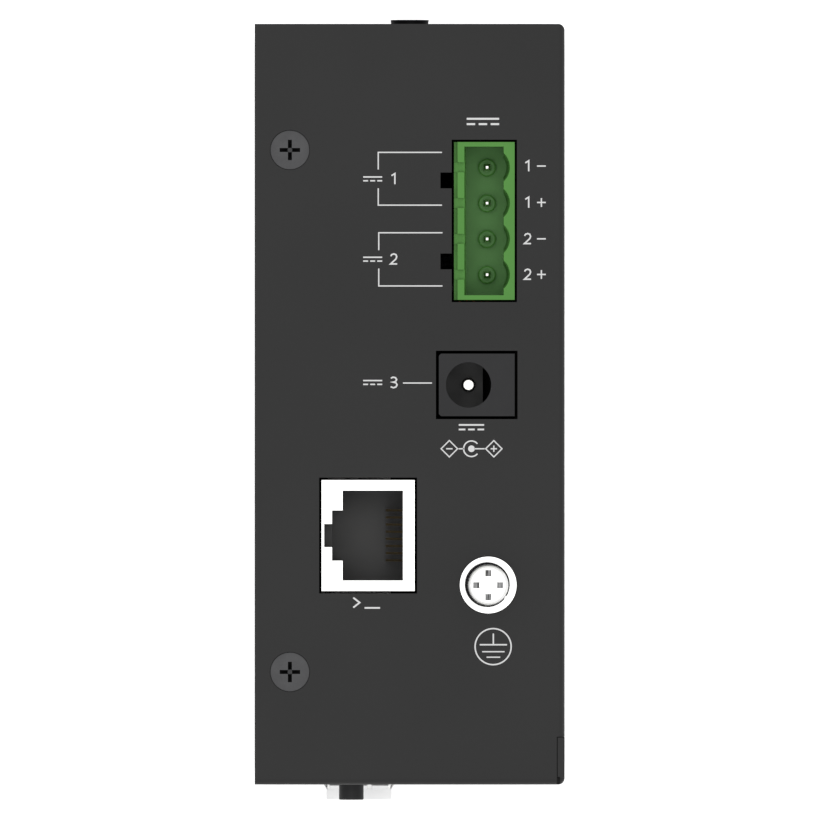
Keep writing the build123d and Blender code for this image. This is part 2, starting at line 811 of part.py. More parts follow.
def make_lamp_holders():
    """Moulded blocks on the power board that carry the lamps behind the front."""
    near = inner_front + lamp_behind_panel
    reach = lamp_x[-1] - lamp_size / 2 - lamp_holder_wall
    holder_y = (near, near + lamp_holder_depth)
    holders = []
    for z in lamp_rows:
        holder = block((reach, power_face), holder_y, around(z, lamp_size + 2 * lamp_holder_wall))
        for x in lamp_x:
            holder -= along_y(Pos(x, z) * Circle(lamp_size / 2), (near, near + lamp_seat))
        holders.append(holder)
    return holders


def make_lamps():
    """Round lamps seated in their holders and showing through the front."""
    near = inner_front + lamp_behind_panel
    lamp = along_z(Circle(lamp_size / 2), (0, lamp_seat + lamp_behind_panel + sheet + lamp_proud))
    lamp = chamfer(lamp.edges().group_by(Axis.Z)[-1], lamp_round)
    return [Pos(x, near + lamp_seat, z) * Rot(90, 0, 0) * lamp for z in lamp_rows for x in lamp_x]


def ring(outer, inner, z):
    """A flat ring."""
    return along_z(Circle(outer / 2) - Circle(inner / 2), z)


def make_ground_set():
    """Ground screw, spring washer, flat washer and pressed nut, from the top down."""
    washer_top = height + flat_washer_thickness
    head_base = washer_top + spring_washer_thickness
    hole = ground_shank + 2 * ground_gap
    place = Pos(ground_x, ground_y, 0)
    head = along_z(Circle(ground_head / 2), (head_base, head_base + ground_head_height))
    head = chamfer(head.edges().group_by(Axis.Z)[-1], ground_head_round)
    shank = along_z(Circle(ground_shank / 2), (head_base - ground_length, head_base))
    recess = cross_recess(ground_cross, ground_cross_floor, ground_cross_arm, ground_cross_depth)
    screw = head + shank - Pos(0, 0, head_base + ground_head_height) * recess
    spring_hole = ground_shank + 2 * spring_washer_play
    spring = ring(spring_washer, spring_hole, (washer_top, head_base))
    split = block((0, spring_washer), around(0, spring_washer_split), (washer_top, head_base))
    spring -= Rot(0, 0, spring_washer_turn) * split
    spring = Pos(*spring_washer_shift) * spring
    flat = ring(flat_washer, hole, (height, washer_top))
    nut = along_z(hexagon(ground_nut) - Circle(hole / 2), (inner_top - ground_nut_height, inner_top))
    return place * screw, place * spring, place * flat, place * nut


def make_chip(size, thickness, z):
    """A flat square chip on the main board."""
    return block((main_face, main_face + thickness), around(chip_y, size), around(z, size))


def make_heat_sink():
    """A finned block on the switching chip."""
    base_x = main_face + chip_thickness
    fin_root = base_x + sink_base
    body = block((base_x, fin_root), around(chip_y, sink_size), around(chip_z, sink_size))
    step = (sink_size - sink_fin) / (sink_fin_count - 1)
    for index in range(sink_fin_count):
        fin_y = around(chip_y - (sink_size - sink_fin) / 2 + index * step, sink_fin)
        body += block((fin_root, fin_root + sink_fin_height), fin_y, around(chip_z, sink_size))
    return body


def make_coil_blocks():
    """The transformer block behind each front port."""
    near = front + socket_sink + socket_depth + coil_block_behind
    coil_y = (near, near + coil_block_depth)
    blocks = []
    for z in port_z:
        coil = block((main_face, main_face + coil_block_height), coil_y, around(z, coil_block_length))
        coil = chamfer(coil.faces().sort_by(Axis.X)[-1].edges(), coil_block_round)
        blocks.append(coil)
    return blocks


def make_capacitors():
    """Round capacitors standing on the power board."""
    can = along_z(Circle(capacitor_size / 2), (0, capacitor_length))
    can = chamfer(can.edges().group_by(Axis.Z)[-1], capacitor_round)
    places = [capacitor_z + index * capacitor_pitch for index in range(capacitor_count)]
    return [Pos(power_face, capacitor_y, z) * Rot(0, -90, 0) * can for z in places]


def make_toroid():
    """The wound ring coil and the plate that it stands on."""
    base = along_z(rectangle(around(0, toroid_base_size), around(0, toroid_base_size)), (0, toroid_base))
    coil = ring(toroid_outer, toroid_inner, (toroid_base, toroid_base + toroid_thickness))
    coil = chamfer(coil.edges().filter_by(GeomType.CIRCLE).group_by(Axis.Z)[-1], toroid_round)
    place = Pos(power_face, toroid_y, toroid_z) * Rot(0, -90, 0)
    return place * coil, place * base


def make_link():
    """A plug on each board and the ribbon that loops from one to the other."""
    link_span = around(link_z, link_length)
    main_top = main_face + link_height
    power_top = power_face - link_height
    main_plug = block((main_face, main_top), around(link_y, link_depth), link_span)
    power_plug = block((power_top, power_face), around(link_y, link_depth), link_span)
    plug_back = link_y + link_depth / 2
    near = main_top - ribbon_grip
    far = power_top + ribbon_grip
    rise = (far - near) / 2
    path = Line((near, link_y), (near, plug_back))
    path += ThreePointArc((near, plug_back), ((near + far) / 2, plug_back + rise), (far, plug_back))
    path += Line((far, plug_back), (far, link_y))
    ribbon_solid = along_z(trace(path.edges(), ribbon), around(link_z, ribbon_width))
    return main_plug - ribbon_solid, power_plug - ribbon_solid, ribbon_solid


def as_group(solids):
    """Several separate solids kept as one node."""
    return Compound(children=list(solids))


def make_nodes():
    """Every node of the switch by name."""
    wires = make_socket_contacts()
    insert = make_socket_insert(wires)
    shield = make_socket_shield()
    contacts = as_group(wires)
    cage = make_cage()
    cage_collar = make_cage_collar()
    edge_connector = make_edge_connector()
    console_place = Pos(main_face, console_y, height - socket_sink)
    port_places = [port_place(z, front + socket_sink) for z in port_z]
    cage_places = [port_place(z, front - cage_proud) for z in cage_z]
    reset_place = port_place(reset_z, inner_front + reset_behind_panel)
    top_screws, base_screws = cover_screw_places()
    screw = csk_screw()
    reset_plate_solid = reset_place * make_reset_plate()
    main_cuts = [reset_plate_solid]
    main_cuts += [place * wire for place in [console_place] + port_places for wire in wires]
    main_cuts += [place * cage for place in cage_places]
    terminal_pins = make_terminal_pins()
    jack_pin_solid = make_jack_pin()
    jack_leaf_solid = make_jack_leaf()
    power_cuts = terminal_pins + [jack_pin_solid, jack_leaf_solid]
    ground_screw, ground_spring, ground_flat, ground_nut_solid = make_ground_set()
    toroid_coil, toroid_plate = make_toroid()
    main_plug, power_plug, ribbon_solid = make_link()
    nodes = {
        "chassis": make_chassis(),
        "side_cover": make_side_cover(),
        "top_cover_screws": as_group(place * screw for place in top_screws),
        "base_cover_screws": as_group(place * screw for place in base_screws),
        "clip_screws": as_group(place * clip_screw() for place in clip_screw_places()),
        "clip_nuts": as_group(make_clinch_nuts()),
        "main_board": make_board(main_face - board, main_face, main_cuts),
        "power_board": make_board(power_face, power_face + board, power_cuts),
        "wall_standoffs": as_group(make_wall_standoffs()),
        "board_spacers": as_group(make_board_spacers()),
        "board_screws": as_group(make_board_screws()),
        "terminal_header": make_terminal_header(),
        "terminal_pins": as_group(terminal_pins),
        "power_jack_housing": make_jack_housing(),
        "power_jack_pin": jack_pin_solid,
        "power_jack_leaf": jack_leaf_solid,
        "console_shield": console_place * shield,
        "console_insert": console_place * insert,
        "console_contacts": console_place * contacts,
        "reset_case": reset_place * make_reset_case(),
        "reset_plate": reset_plate_solid,
        "reset_dome": reset_place * make_reset_dome(),
        "reset_button": reset_place * make_reset_button(),
        "lamp_holders": as_group(make_lamp_holders()),
        "lamps": as_group(make_lamps()),
        "ground_screw": ground_screw,
        "ground_spring_washer": ground_spring,
        "ground_flat_washer": ground_flat,
        "ground_nut": ground_nut_solid,
        "switch_chip": make_chip(chip_size, chip_thickness, chip_z),
        "heat_sink": make_heat_sink(),
        "power_driver": make_chip(driver_size, driver_thickness, driver_z),
        "port_transformers": as_group(make_coil_blocks()),
        "capacitors": as_group(make_capacitors()),
        "choke_coil": toroid_coil,
        "choke_plate": toroid_plate,
        "main_link_plug": main_plug,
        "power_link_plug": power_plug,
        "link_ribbon": ribbon_solid,
    }
    for number, place in enumerate(port_places, start=1):
        nodes[f"port_{number}_shield"] = place * shield
        nodes[f"port_{number}_insert"] = place * insert
        nodes[f"port_{number}_contacts"] = place * contacts
    for number, place in enumerate(cage_places, start=1):
        nodes[f"cage_{number}"] = place * cage
        nodes[f"cage_{number}_collar"] = place * cage_collar
        nodes[f"cage_{number}_connector"] = place * edge_connector
    return nodes


os.makedirs("parts", exist_ok=True)
for name, solid in make_nodes().items():
    export_step(solid, f"parts/{name}.step")
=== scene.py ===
import json
import math
import bmesh
import bpy
from mathutils import Matrix, Vector


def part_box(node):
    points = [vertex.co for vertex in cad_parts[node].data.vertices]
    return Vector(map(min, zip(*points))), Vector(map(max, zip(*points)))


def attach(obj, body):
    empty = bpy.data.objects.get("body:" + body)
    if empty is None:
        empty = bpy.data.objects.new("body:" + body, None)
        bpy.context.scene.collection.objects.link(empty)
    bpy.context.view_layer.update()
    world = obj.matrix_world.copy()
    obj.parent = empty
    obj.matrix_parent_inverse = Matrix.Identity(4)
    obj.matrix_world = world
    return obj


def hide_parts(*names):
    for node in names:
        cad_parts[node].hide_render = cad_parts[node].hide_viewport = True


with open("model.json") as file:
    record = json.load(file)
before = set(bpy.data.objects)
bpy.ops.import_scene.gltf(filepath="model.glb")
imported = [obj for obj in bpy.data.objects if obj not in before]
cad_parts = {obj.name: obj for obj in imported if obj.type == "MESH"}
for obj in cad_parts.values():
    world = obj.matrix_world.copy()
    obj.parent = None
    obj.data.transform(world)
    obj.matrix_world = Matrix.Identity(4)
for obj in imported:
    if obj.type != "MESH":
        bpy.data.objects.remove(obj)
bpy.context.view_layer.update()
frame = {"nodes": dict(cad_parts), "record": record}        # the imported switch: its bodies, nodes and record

mm = 0.001
weldGap = 0.002 * mm     # vertices nearer than this are one
faceOn = 0.9             # a face whose normal has this much of an axis looks along it
nodes = frame["nodes"]
print("stage: frame loaded,", len(nodes), "nodes")


def linearColour(hexText):
    values = [int(hexText[i:i + 2], 16) / 255 for i in (1, 3, 5)]
    curve = [v / 12.92 if v <= 0.04045 else ((v + 0.055) / 1.055) ** 2.4 for v in values]
    return (*curve, 1.0)


def addNode(tree, kind, inputs=None, **settings):
    node = tree.nodes.new(kind)
    for key, value in settings.items():
        setattr(node, key, value)
    for key, value in (inputs or {}).items():
        if isinstance(value, bpy.types.NodeSocket):
            tree.links.new(value, node.inputs[key])
        else:
            node.inputs[key].default_value = value
    return node


# Detail of the two noises in every finish, and the part of the slow one's range that the colours span
noise = {"grainDetail": 3.0, "cloudDetail": 2.0, "cloudLow": 0.35, "cloudHigh": 0.65}


# One shader for every finish: a fine grain in the relief and the gloss, and a slow drift of the colour.
# A look gives the sizes of both in real millimetres.
def makeSurface(name, look):
    material = bpy.data.materials.new(name)
    material.use_nodes = True
    tree = material.node_tree
    tree.nodes.clear()
    place = addNode(tree, "ShaderNodeTexCoord").outputs["Object"]
    stretch = look.get("stretch", (1, 1, 1))
    place = addNode(tree, "ShaderNodeMapping", {"Vector": place, "Scale": stretch}).outputs["Vector"]
    grain = addNode(tree, "ShaderNodeTexNoise", {
        "Vector": place,
        "Scale": 1 / (look["grainMm"] * mm),
        "Detail": noise["grainDetail"],
    })
    cloud = addNode(tree, "ShaderNodeTexNoise", {
        "Vector": place,
        "Scale": 1 / (look["cloudMm"] * mm),
        "Detail": noise["cloudDetail"],
    })
    drift = addNode(tree, "ShaderNodeMapRange", {
        "Value": cloud.outputs["Fac"],
        "From Min": noise["cloudLow"],
        "From Max": noise["cloudHigh"],
    })
    # sockets 6 and 7 of a Mix node are its two colours
    colour = addNode(tree, "ShaderNodeMix", {
        "Factor": drift.outputs["Result"],
        6: linearColour(look["colour"]),
        7: linearColour(look["colourAway"]),
    }, data_type="RGBA")
    low, high = look["roughness"]
    rough = addNode(tree, "ShaderNodeMapRange", {"Value": grain.outputs["Fac"], "To Min": low, "To Max": high})
    bump = addNode(tree, "ShaderNodeBump", {
        "Height": grain.outputs["Fac"],
        "Strength": look["bump"],
        "Distance": look["bumpMm"] * mm,
    })
    shader = addNode(tree, "ShaderNodeBsdfPrincipled", {
        "Base Color": colour.outputs[2],
        "Roughness": rough.outputs["Result"],
        "Normal": bump.outputs["Normal"],
        "Metallic": look.get("metallic", 0.0),
    })
    for socket, value in look.get("sockets", {}).items():
        shader.inputs[socket].default_value = value
    addNode(tree, "ShaderNodeOutputMaterial", {"Surface": shader.outputs["BSDF"]})
    return material


# The record's slots, each with the real finish's name and look
looks = {
    # polyester powder baked on steel, a dull dark grey with a fine orange peel
    "powder_coated_steel": ("darkGreyPowderCoat", {
        "colour": "#262626", "colourAway": "#282828", "grainMm": 0.45, "cloudMm": 25.0,
        "roughness": (0.52, 0.62), "bump": 0.12, "bumpMm": 0.02, "sockets": {"Specular IOR Level": 0.18},
    }),
    # bright nickel plate on pressed sheet, with the roller's faint lines
    "plated_steel": ("brightNickelPlate", {
        "colour": "#f2f2f1", "colourAway": "#ecece9", "grainMm": 0.25, "cloudMm": 8.0, "stretch": (1, 6, 1),
        "roughness": (0.34, 0.44), "bump": 0.05, "bumpMm": 0.01, "metallic": 1.0,
    }),
    # zinc plate passivated black, as on the screws
    "black_zinc_steel": ("blackPassivatedZinc", {
        "colour": "#525253", "colourAway": "#4e4e4f", "grainMm": 0.2, "cloudMm": 2.0,
        "roughness": (0.55, 0.65), "bump": 0.04, "bumpMm": 0.006, "metallic": 1.0,
    }),
    # glass filled polyamide of the header, satin green
    "green_moulding": ("greenPolyamide", {
        "colour": "#4f853d", "colourAway": "#4c813b", "grainMm": 0.18, "cloudMm": 6.0,
        "roughness": (0.5, 0.6), "bump": 0.1, "bumpMm": 0.012, "sockets": {"Specular IOR Level": 0.16},
    }),
    # black thermoplastic with a fine spark-eroded texture
    "black_moulding": ("blackThermoplastic", {
        "colour": "#282829", "colourAway": "#262627", "grainMm": 0.2, "cloudMm": 6.0,
        "roughness": (0.5, 0.6), "bump": 0.1, "bumpMm": 0.015, "sockets": {"Specular IOR Level": 0.18},
    }),
    # grey thermoplastic inside the sockets
    "grey_moulding": ("greyThermoplastic", {
        "colour": "#545454", "colourAway": "#505050", "grainMm": 0.2, "cloudMm": 6.0,
        "roughness": (0.55, 0.65), "bump": 0.1, "bumpMm": 0.015, "sockets": {"Specular IOR Level": 0.25},
    }),
    # tin on brass pins, pale and slightly dull
    "tinned_brass": ("tinPlate", {
        "colour": "#efeeea", "colourAway": "#e6e4de", "grainMm": 0.15, "cloudMm": 1.5,
        "roughness": (0.16, 0.22), "bump": 0.02, "bumpMm": 0.004, "metallic": 1.0,
    }),
    # flash gold on bronze wire
    "gold_plated_wire": ("goldPlate", {
        "colour": "#bfa368", "colourAway": "#b39860", "grainMm": 0.12, "cloudMm": 1.2,
        "roughness": (0.24, 0.34), "bump": 0.04, "bumpMm": 0.006, "metallic": 1.0,
    }),
    # green solder mask over glass laminate and its tracks
    "circuit_board": ("greenSolderMask", {
        "colour": "#0b2215", "colourAway": "#123020", "grainMm": 0.9, "cloudMm": 1.6,
        "roughness": (0.36, 0.48), "bump": 0.25, "bumpMm": 0.035, "sockets": {"Specular IOR Level": 0.3},
    }),
    # drawn aluminium with the die's lines along the fins
    "extruded_aluminium": ("drawnAluminium", {
        "colour": "#c9cacc", "colourAway": "#bfc1c4", "grainMm": 0.2, "cloudMm": 7.0, "stretch": (1, 1, 0.04),
        "roughness": (0.28, 0.42), "bump": 0.12, "bumpMm": 0.015, "metallic": 1.0,
    }),
    # cast resin of the lamps, milky and unlit
    "lamp_resin": ("milkyLampResin", {
        "colour": "#c6cfc5", "colourAway": "#bcc7bb", "grainMm": 0.3, "cloudMm": 2.0,
        "roughness": (0.16, 0.24), "bump": 0.03, "bumpMm": 0.01, "sockets": {"Transmission Weight": 0.35},
    }),
    # shrunk polyester sleeve of the capacitors
    "capacitor_sleeve": ("darkBlueShrinkSleeve", {
        "colour": "#151a27", "colourAway": "#171d2b", "grainMm": 0.6, "cloudMm": 9.0,
        "roughness": (0.26, 0.36), "bump": 0.08, "bumpMm": 0.02,
    }),
    # enamelled copper wire
    "copper_winding": ("enamelledCopper", {
        "colour": "#c2703f", "colourAway": "#b5633a", "grainMm": 0.3, "cloudMm": 2.5,
        "roughness": (0.2, 0.32), "bump": 0.05, "bumpMm": 0.01, "metallic": 1.0,
    }),
    # vinyl sheath of the flat cable, its wires showing as ridges along it
    "ribbon_sheath": ("greyVinylSheath", {
        "colour": "#9b9c9e", "colourAway": "#86878a", "grainMm": 0.9, "cloudMm": 1.27, "stretch": (0.05, 0.05, 1),
        "roughness": (0.42, 0.52), "bump": 0.3, "bumpMm": 0.12,
    }),
}
finishes = {slotName: makeSurface(name, look) for slotName, (name, look) in looks.items()}
for part in frame["record"]["subparts"]:
    mesh = nodes[part["node"]].data
    mesh.materials.clear()
    mesh.materials.append(finishes[part["material_slot"]])

# Spring fingers round the cages: satin nickel, less bright than the pressed shields
fingerNickel = makeSurface("satinNickelSpring", {
    "colour": "#f3f3f3", "colourAway": "#eeeeee", "grainMm": 0.2, "cloudMm": 2.0,
    "roughness": (0.46, 0.54), "bump": 0.05, "bumpMm": 0.008, "metallic": 1.0,
})
for nodeName in ("cage_1_collar", "cage_2_collar"):
    nodes[nodeName].data.materials[0] = fingerNickel

# Sawn edges of the boards: dark laminate without the solder mask, rough and matt
sawnEdge = makeSurface("sawnLaminateEdge", {
    "colour": "#0d0c0a", "colourAway": "#11100d", "grainMm": 0.3, "cloudMm": 1.0,
    "roughness": (0.8, 0.9), "bump": 0.2, "bumpMm": 0.03, "sockets": {"Specular IOR Level": 0.1},
})
for nodeName in ("main_board", "power_board"):
    board = nodes[nodeName].data
    board.materials.append(sawnEdge)
    for polygon in board.polygons:
        polygon.material_index = 0 if abs(polygon.normal.x) > faceOn else 1
print("stage: finishes on", len(nodes), "nodes")

# Inside of the power jack: the floor of the bore is painted light, a paler grey than the housing that stands in for
# the light the deep bore doesn't get, and the floor of the slot beside it is painted near black as shade
jack = {
    "axisFromRight": 6.54, "bore": 6.45, "slotFromAxis": 2.05, "floorBelow": 1.0,
    # painted light: a paler grey on the bore's floor, lifting the shade of the deep bore
    "boreFloorPaintedLight": {
        "colour": "#555555", "colourAway": "#515151", "grainMm": 0.2, "cloudMm": 4.0,
        "roughness": (0.6, 0.7), "bump": 0.08, "bumpMm": 0.012, "sockets": {"Specular IOR Level": 0.2},
    },
    # painted shade: near black on the slot's floor, standing in for the shade down in the slot
    "slotFloorPaintedShade": {
        "colour": "#0a0a0a", "colourAway": "#0d0d0d", "grainMm": 0.2, "cloudMm": 2.0,
        "roughness": (0.7, 0.8), "bump": 0.05, "bumpMm": 0.01, "sockets": {"Specular IOR Level": 0.05},
    },
}
jackLow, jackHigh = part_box("power_jack_housing")
jackAxis = Vector((jackHigh.x - jack["axisFromRight"] * mm, (jackLow.y + jackHigh.y) / 2))
jackMesh = nodes["power_jack_housing"].data
jackMesh.materials.append(makeSurface("paintedLightBoreFloor", jack["boreFloorPaintedLight"]))
jackMesh.materials.append(makeSurface("paintedShadeSlotFloor", jack["slotFloorPaintedShade"]))
# faces on the floor of the bore take the painted light, and those in the slot take the painted shade
for polygon in jackMesh.polygons:
    away = Vector(polygon.center[:2]) - jackAxis
    isFloor = polygon.normal.z > faceOn and polygon.center.z < jackHigh.z - jack["floorBelow"] * mm
    if isFloor and away.length < jack["bore"] / 2 * mm:
        polygon.material_index = 1 if away.x < jack["slotFromAxis"] * mm else 2

# Floor of the terminal header's pocket: painted light, a paler green than the moulding that stands in for light the
# deep pocket doesn't get, and rougher
header = {
    "floorBelow": 5.0,
    "floor": {
        "colour": "#5f9053", "colourAway": "#5b8a4f", "grainMm": 0.3, "cloudMm": 5.0,
        "roughness": (0.65, 0.75), "bump": 0.2, "bumpMm": 0.02, "sockets": {"Specular IOR Level": 0.3},
    },
}
headerMesh = nodes["terminal_header"].data
headerMesh.materials.append(makeSurface("paintedLightPocketFloor", header["floor"]))
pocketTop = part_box("terminal_header")[1].z - header["floorBelow"] * mm
# the pocket's floor faces take the painted light
for polygon in headerMesh.polygons:
    if polygon.normal.z > faceOn and polygon.center.z < pocketTop:
        polygon.material_index = 1


def addPiece(name, mesh, body="case"):
    piece = bpy.data.objects.new(name, mesh)
    bpy.context.scene.collection.objects.link(piece)
    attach(piece, body)
    return piece


def addHolder(name, data):
    holder = bpy.data.objects.new(name, data)
    bpy.context.scene.collection.objects.link(holder)
    return holder


# The plain mesh that an object's modifiers give, after which the object isn't needed any more
def settle(holder):
    graph = bpy.context.evaluated_depsgraph_get()
    mesh = bpy.data.meshes.new_from_object(holder.evaluated_get(graph), depsgraph=graph)
    bpy.data.objects.remove(holder)
    return mesh


def meshFrom(bm, name, *materials):
    mesh = bpy.data.meshes.new(name)
    bm.to_mesh(mesh)
    bm.free()
    for material in materials:
        mesh.materials.append(material)
    return mesh


# A mesh turned round Z from a profile of (radius, height) in millimetres
def turnMesh(name, profile, steps=64, smoothDegrees=35.0):
    bm = bmesh.new()
    rail = [bm.verts.new((radius * mm, 0, height * mm)) for radius, height in profile]
    edges = [bm.edges.new(pair) for pair in zip(rail, rail[1:])]
    bmesh.ops.spin(
        bm, geom=rail + edges, cent=(0, 0, 0), axis=(0, 0, 1), angle=math.tau, steps=steps, use_merge=True,
    )
    bmesh.ops.remove_doubles(bm, verts=bm.verts, dist=weldGap)
    bmesh.ops.recalc_face_normals(bm, faces=bm.faces)
    for face in bm.faces:
        face.smooth = True
    for edge in bm.edges:
        edge.smooth = edge.calc_face_angle(0.0) < math.radians(smoothDegrees)
    return meshFrom(bm, name)


# Joins rings of vertices into one tube, with its ends filled unless it is closed
def joinRings(bm, rings, closed=False):
    pairs = list(zip(rings, rings[1:])) + ([(rings[-1], rings[0])] if closed else [])
    for a, b in pairs:
        for k, vert in enumerate(a):
            after = (k + 1) % len(a)
            bm.faces.new((vert, b[k], b[after], a[after]))
    if not closed:
        bm.faces.new(rings[0])
        bm.faces.new(rings[-1])
    bmesh.ops.recalc_face_normals(bm, faces=bm.faces)


def addBlock(bm, low, high):
    low, high = Vector(low), Vector(high)
    place = Matrix.Translation((low + high) / 2) @ Matrix.Diagonal((*(high - low), 1))
    bmesh.ops.create_cube(bm, size=1.0, matrix=place)


# Points of an arc in a profile, from one angle to another in degrees
def profileArc(centre, radius, start, end, count=6):
    turns = [math.radians(start + (end - start) * i / count) for i in range(count + 1)]
    return [(centre[0] + radius * math.cos(t), centre[1] + radius * math.sin(t)) for t in turns]


# Lowest and highest corner of each separate solid of a node
def solidBoxes(nodeName):
    bm = bmesh.new()
    bm.from_mesh(nodes[nodeName].data)
    bmesh.ops.remove_doubles(bm, verts=bm.verts, dist=weldGap)
    left = set(bm.verts)
    boxes = []
    while left:
        group, waiting = [], [left.pop()]
        while waiting:
            vert = waiting.pop()
            group.append(vert.co.copy())
            near = {edge.other_vert(vert) for edge in vert.link_edges} & left
            left -= near
            waiting += near
        low = Vector([min(co[axis] for co in group) for axis in range(3)])
        high = Vector([max(co[axis] for co in group) for axis in range(3)])
        boxes.append((low, high))
    bm.free()
    return sorted(boxes, key=lambda box: tuple(box[0]))


# The middle of one end face of each solid of a node
def endPlaces(nodeName, axis, side):
    places = []
    for low, high in solidBoxes(nodeName):
        place = (low + high) / 2
        place[axis] = high[axis] if side > 0 else low[axis]
        places.append(place)
    return places


# A node group that takes a geometry and the named inputs: its tree, each input's identifier, and its values
def startGroup(name, inputs):
    tree = bpy.data.node_groups.new(name, "GeometryNodeTree")
    tree.is_modifier = True
    sockets = {}
    for label, kind in {"Geometry": "Geometry", **inputs}.items():
        sockets[label] = tree.interface.new_socket(label, in_out="INPUT", socket_type="NodeSocket" + kind).identifier
    tree.interface.new_socket("Geometry", in_out="OUTPUT", socket_type="NodeSocketGeometry")
    return tree, sockets, addNode(tree, "NodeGroupInput").outputs


# Node group: a threaded rod under whatever the object is, its thread a ridge that follows a spiral
rodShape = {"ridgeOfPitch": 0.3, "stepsPerTurn": 20, "ridgeSides": 4, "shankSides": 28}
rodTree, rodSockets, given = startGroup("threadedRod", {
    "Radius": "Float", "Length": "Float", "Start Below": "Float", "Pitch": "Float", "Finish": "Material",
})
turns = addNode(rodTree, "ShaderNodeMath", {0: given["Length"], 1: given["Pitch"]}, operation="DIVIDE")
ridge = addNode(rodTree, "ShaderNodeMath", {0: given["Pitch"], 1: rodShape["ridgeOfPitch"]}, operation="MULTIPLY")
root = addNode(rodTree, "ShaderNodeMath", {0: given["Radius"], 1: ridge.outputs[0]}, operation="SUBTRACT")
spiral = addNode(rodTree, "GeometryNodeCurveSpiral", {
    "Resolution": rodShape["stepsPerTurn"],
    "Rotations": turns.outputs[0],
    "Start Radius": root.outputs[0],
    "End Radius": root.outputs[0],
    "Height": given["Length"],
})
section = addNode(rodTree, "GeometryNodeCurvePrimitiveCircle", {
    "Resolution": rodShape["ridgeSides"],
    "Radius": ridge.outputs[0],
})
thread = addNode(rodTree, "GeometryNodeCurveToMesh", {
    "Curve": spiral.outputs["Curve"],
    "Profile Curve": section.outputs["Curve"],
    "Fill Caps": True,
})
depth = addNode(rodTree, "ShaderNodeMath", {0: given["Length"], 1: given["Start Below"]}, operation="ADD")
depth = addNode(rodTree, "ShaderNodeMath", {0: depth.outputs[0], 1: -1.0}, operation="MULTIPLY")
threadPlace = addNode(rodTree, "ShaderNodeCombineXYZ", {"Z": depth.outputs[0]})
thread = addNode(rodTree, "GeometryNodeTransform", {
    "Geometry": thread.outputs["Mesh"],
    "Translation": threadPlace.outputs["Vector"],
})
shank = addNode(rodTree, "GeometryNodeMeshCylinder", {
    "Vertices": rodShape["shankSides"],
    "Radius": root.outputs[0],
    "Depth": given["Length"],
})
half = addNode(rodTree, "ShaderNodeMath", {0: given["Length"], 1: 0.5}, operation="MULTIPLY")
half = addNode(rodTree, "ShaderNodeMath", {0: depth.outputs[0], 1: half.outputs[0]}, operation="ADD")
shankPlace = addNode(rodTree, "ShaderNodeCombineXYZ", {"Z": half.outputs[0]})
shank = addNode(rodTree, "GeometryNodeTransform", {
    "Geometry": shank.outputs["Mesh"],
    "Translation": shankPlace.outputs["Vector"],
})
rod = addNode(rodTree, "GeometryNodeJoinGeometry")
for source in (thread, shank):
    rodTree.links.new(source.outputs["Geometry"], rod.inputs["Geometry"])
rod = addNode(rodTree, "GeometryNodeSetMaterial", {
    "Geometry": rod.outputs["Geometry"],
    "Material": given["Finish"],
})
whole = addNode(rodTree, "GeometryNodeJoinGeometry")
for source in (rod.outputs["Geometry"], given["Geometry"]):
    rodTree.links.new(source, whole.inputs["Geometry"])
addNode(rodTree, "NodeGroupOutput", {"Geometry": whole.outputs["Geometry"]})

# Node group: sets one object on every point, tilted, and turned by chance about its own axis.
# The object's first material gives way to the finish, and a second one stays.
setTree, setSockets, given = startGroup("setOnPoints", {
    "Piece": "Object", "Tilt": "Vector", "Turn Range": "Float", "Seed": "Int", "Finish": "Material",
})
shape = addNode(setTree, "GeometryNodeObjectInfo", {"Object": given["Piece"]})
tilt = addNode(setTree, "FunctionNodeEulerToRotation", {"Euler": given["Tilt"]})
onPoints = addNode(setTree, "GeometryNodeInstanceOnPoints", {
    "Points": given["Geometry"],
    "Instance": shape.outputs["Geometry"],
    "Rotation": tilt.outputs["Rotation"],
})
# socket 3 of a random number is the most that it can be
chance = addNode(setTree, "FunctionNodeRandomValue", {
    3: given["Turn Range"],
    "Seed": given["Seed"],
}, data_type="FLOAT")
turn = addNode(setTree, "ShaderNodeCombineXYZ", {"Z": chance.outputs[1]})
turn = addNode(setTree, "FunctionNodeEulerToRotation", {"Euler": turn.outputs["Vector"]})
turned = addNode(setTree, "GeometryNodeRotateInstances", {
    "Instances": onPoints.outputs["Instances"],
    "Rotation": turn.outputs["Rotation"],
})
real = addNode(setTree, "GeometryNodeRealizeInstances", {"Geometry": turned.outputs["Instances"]})
index = addNode(setTree, "GeometryNodeInputMaterialIndex").outputs["Material Index"]
# sockets 2 and 3 of a comparison are its whole numbers
first = addNode(setTree, "FunctionNodeCompare", {2: index, 3: 0}, data_type="INT", operation="EQUAL")
finished = addNode(setTree, "GeometryNodeSetMaterial", {
    "Geometry": real.outputs["Geometry"],
    "Selection": first.outputs["Result"],
    "Material": given["Finish"],
})
addNode(setTree, "NodeGroupOutput", {"Geometry": finished.outputs["Geometry"]})


def runGroup(holder, tree, sockets, settings):
    modifier = holder.modifiers.new(tree.name, "NODES")
    modifier.node_group = tree
    for label, value in settings.items():
        modifier[sockets[label]] = value
    return settle(holder)


# Sets a piece on places, as one mesh that stands for CAD nodes
def setPieces(name, piece, places, settings, slotName, *replaced):
    points = bpy.data.meshes.new(name)
    points.from_pydata([Vector(place) for place in places], [], [])
    inputs = {"Piece": piece, "Finish": piece.data.materials[0], **settings}
    mesh = runGroup(addHolder(name, points), setTree, setSockets, inputs)
    made = addPiece(name, mesh)
    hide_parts(*replaced)
    return made


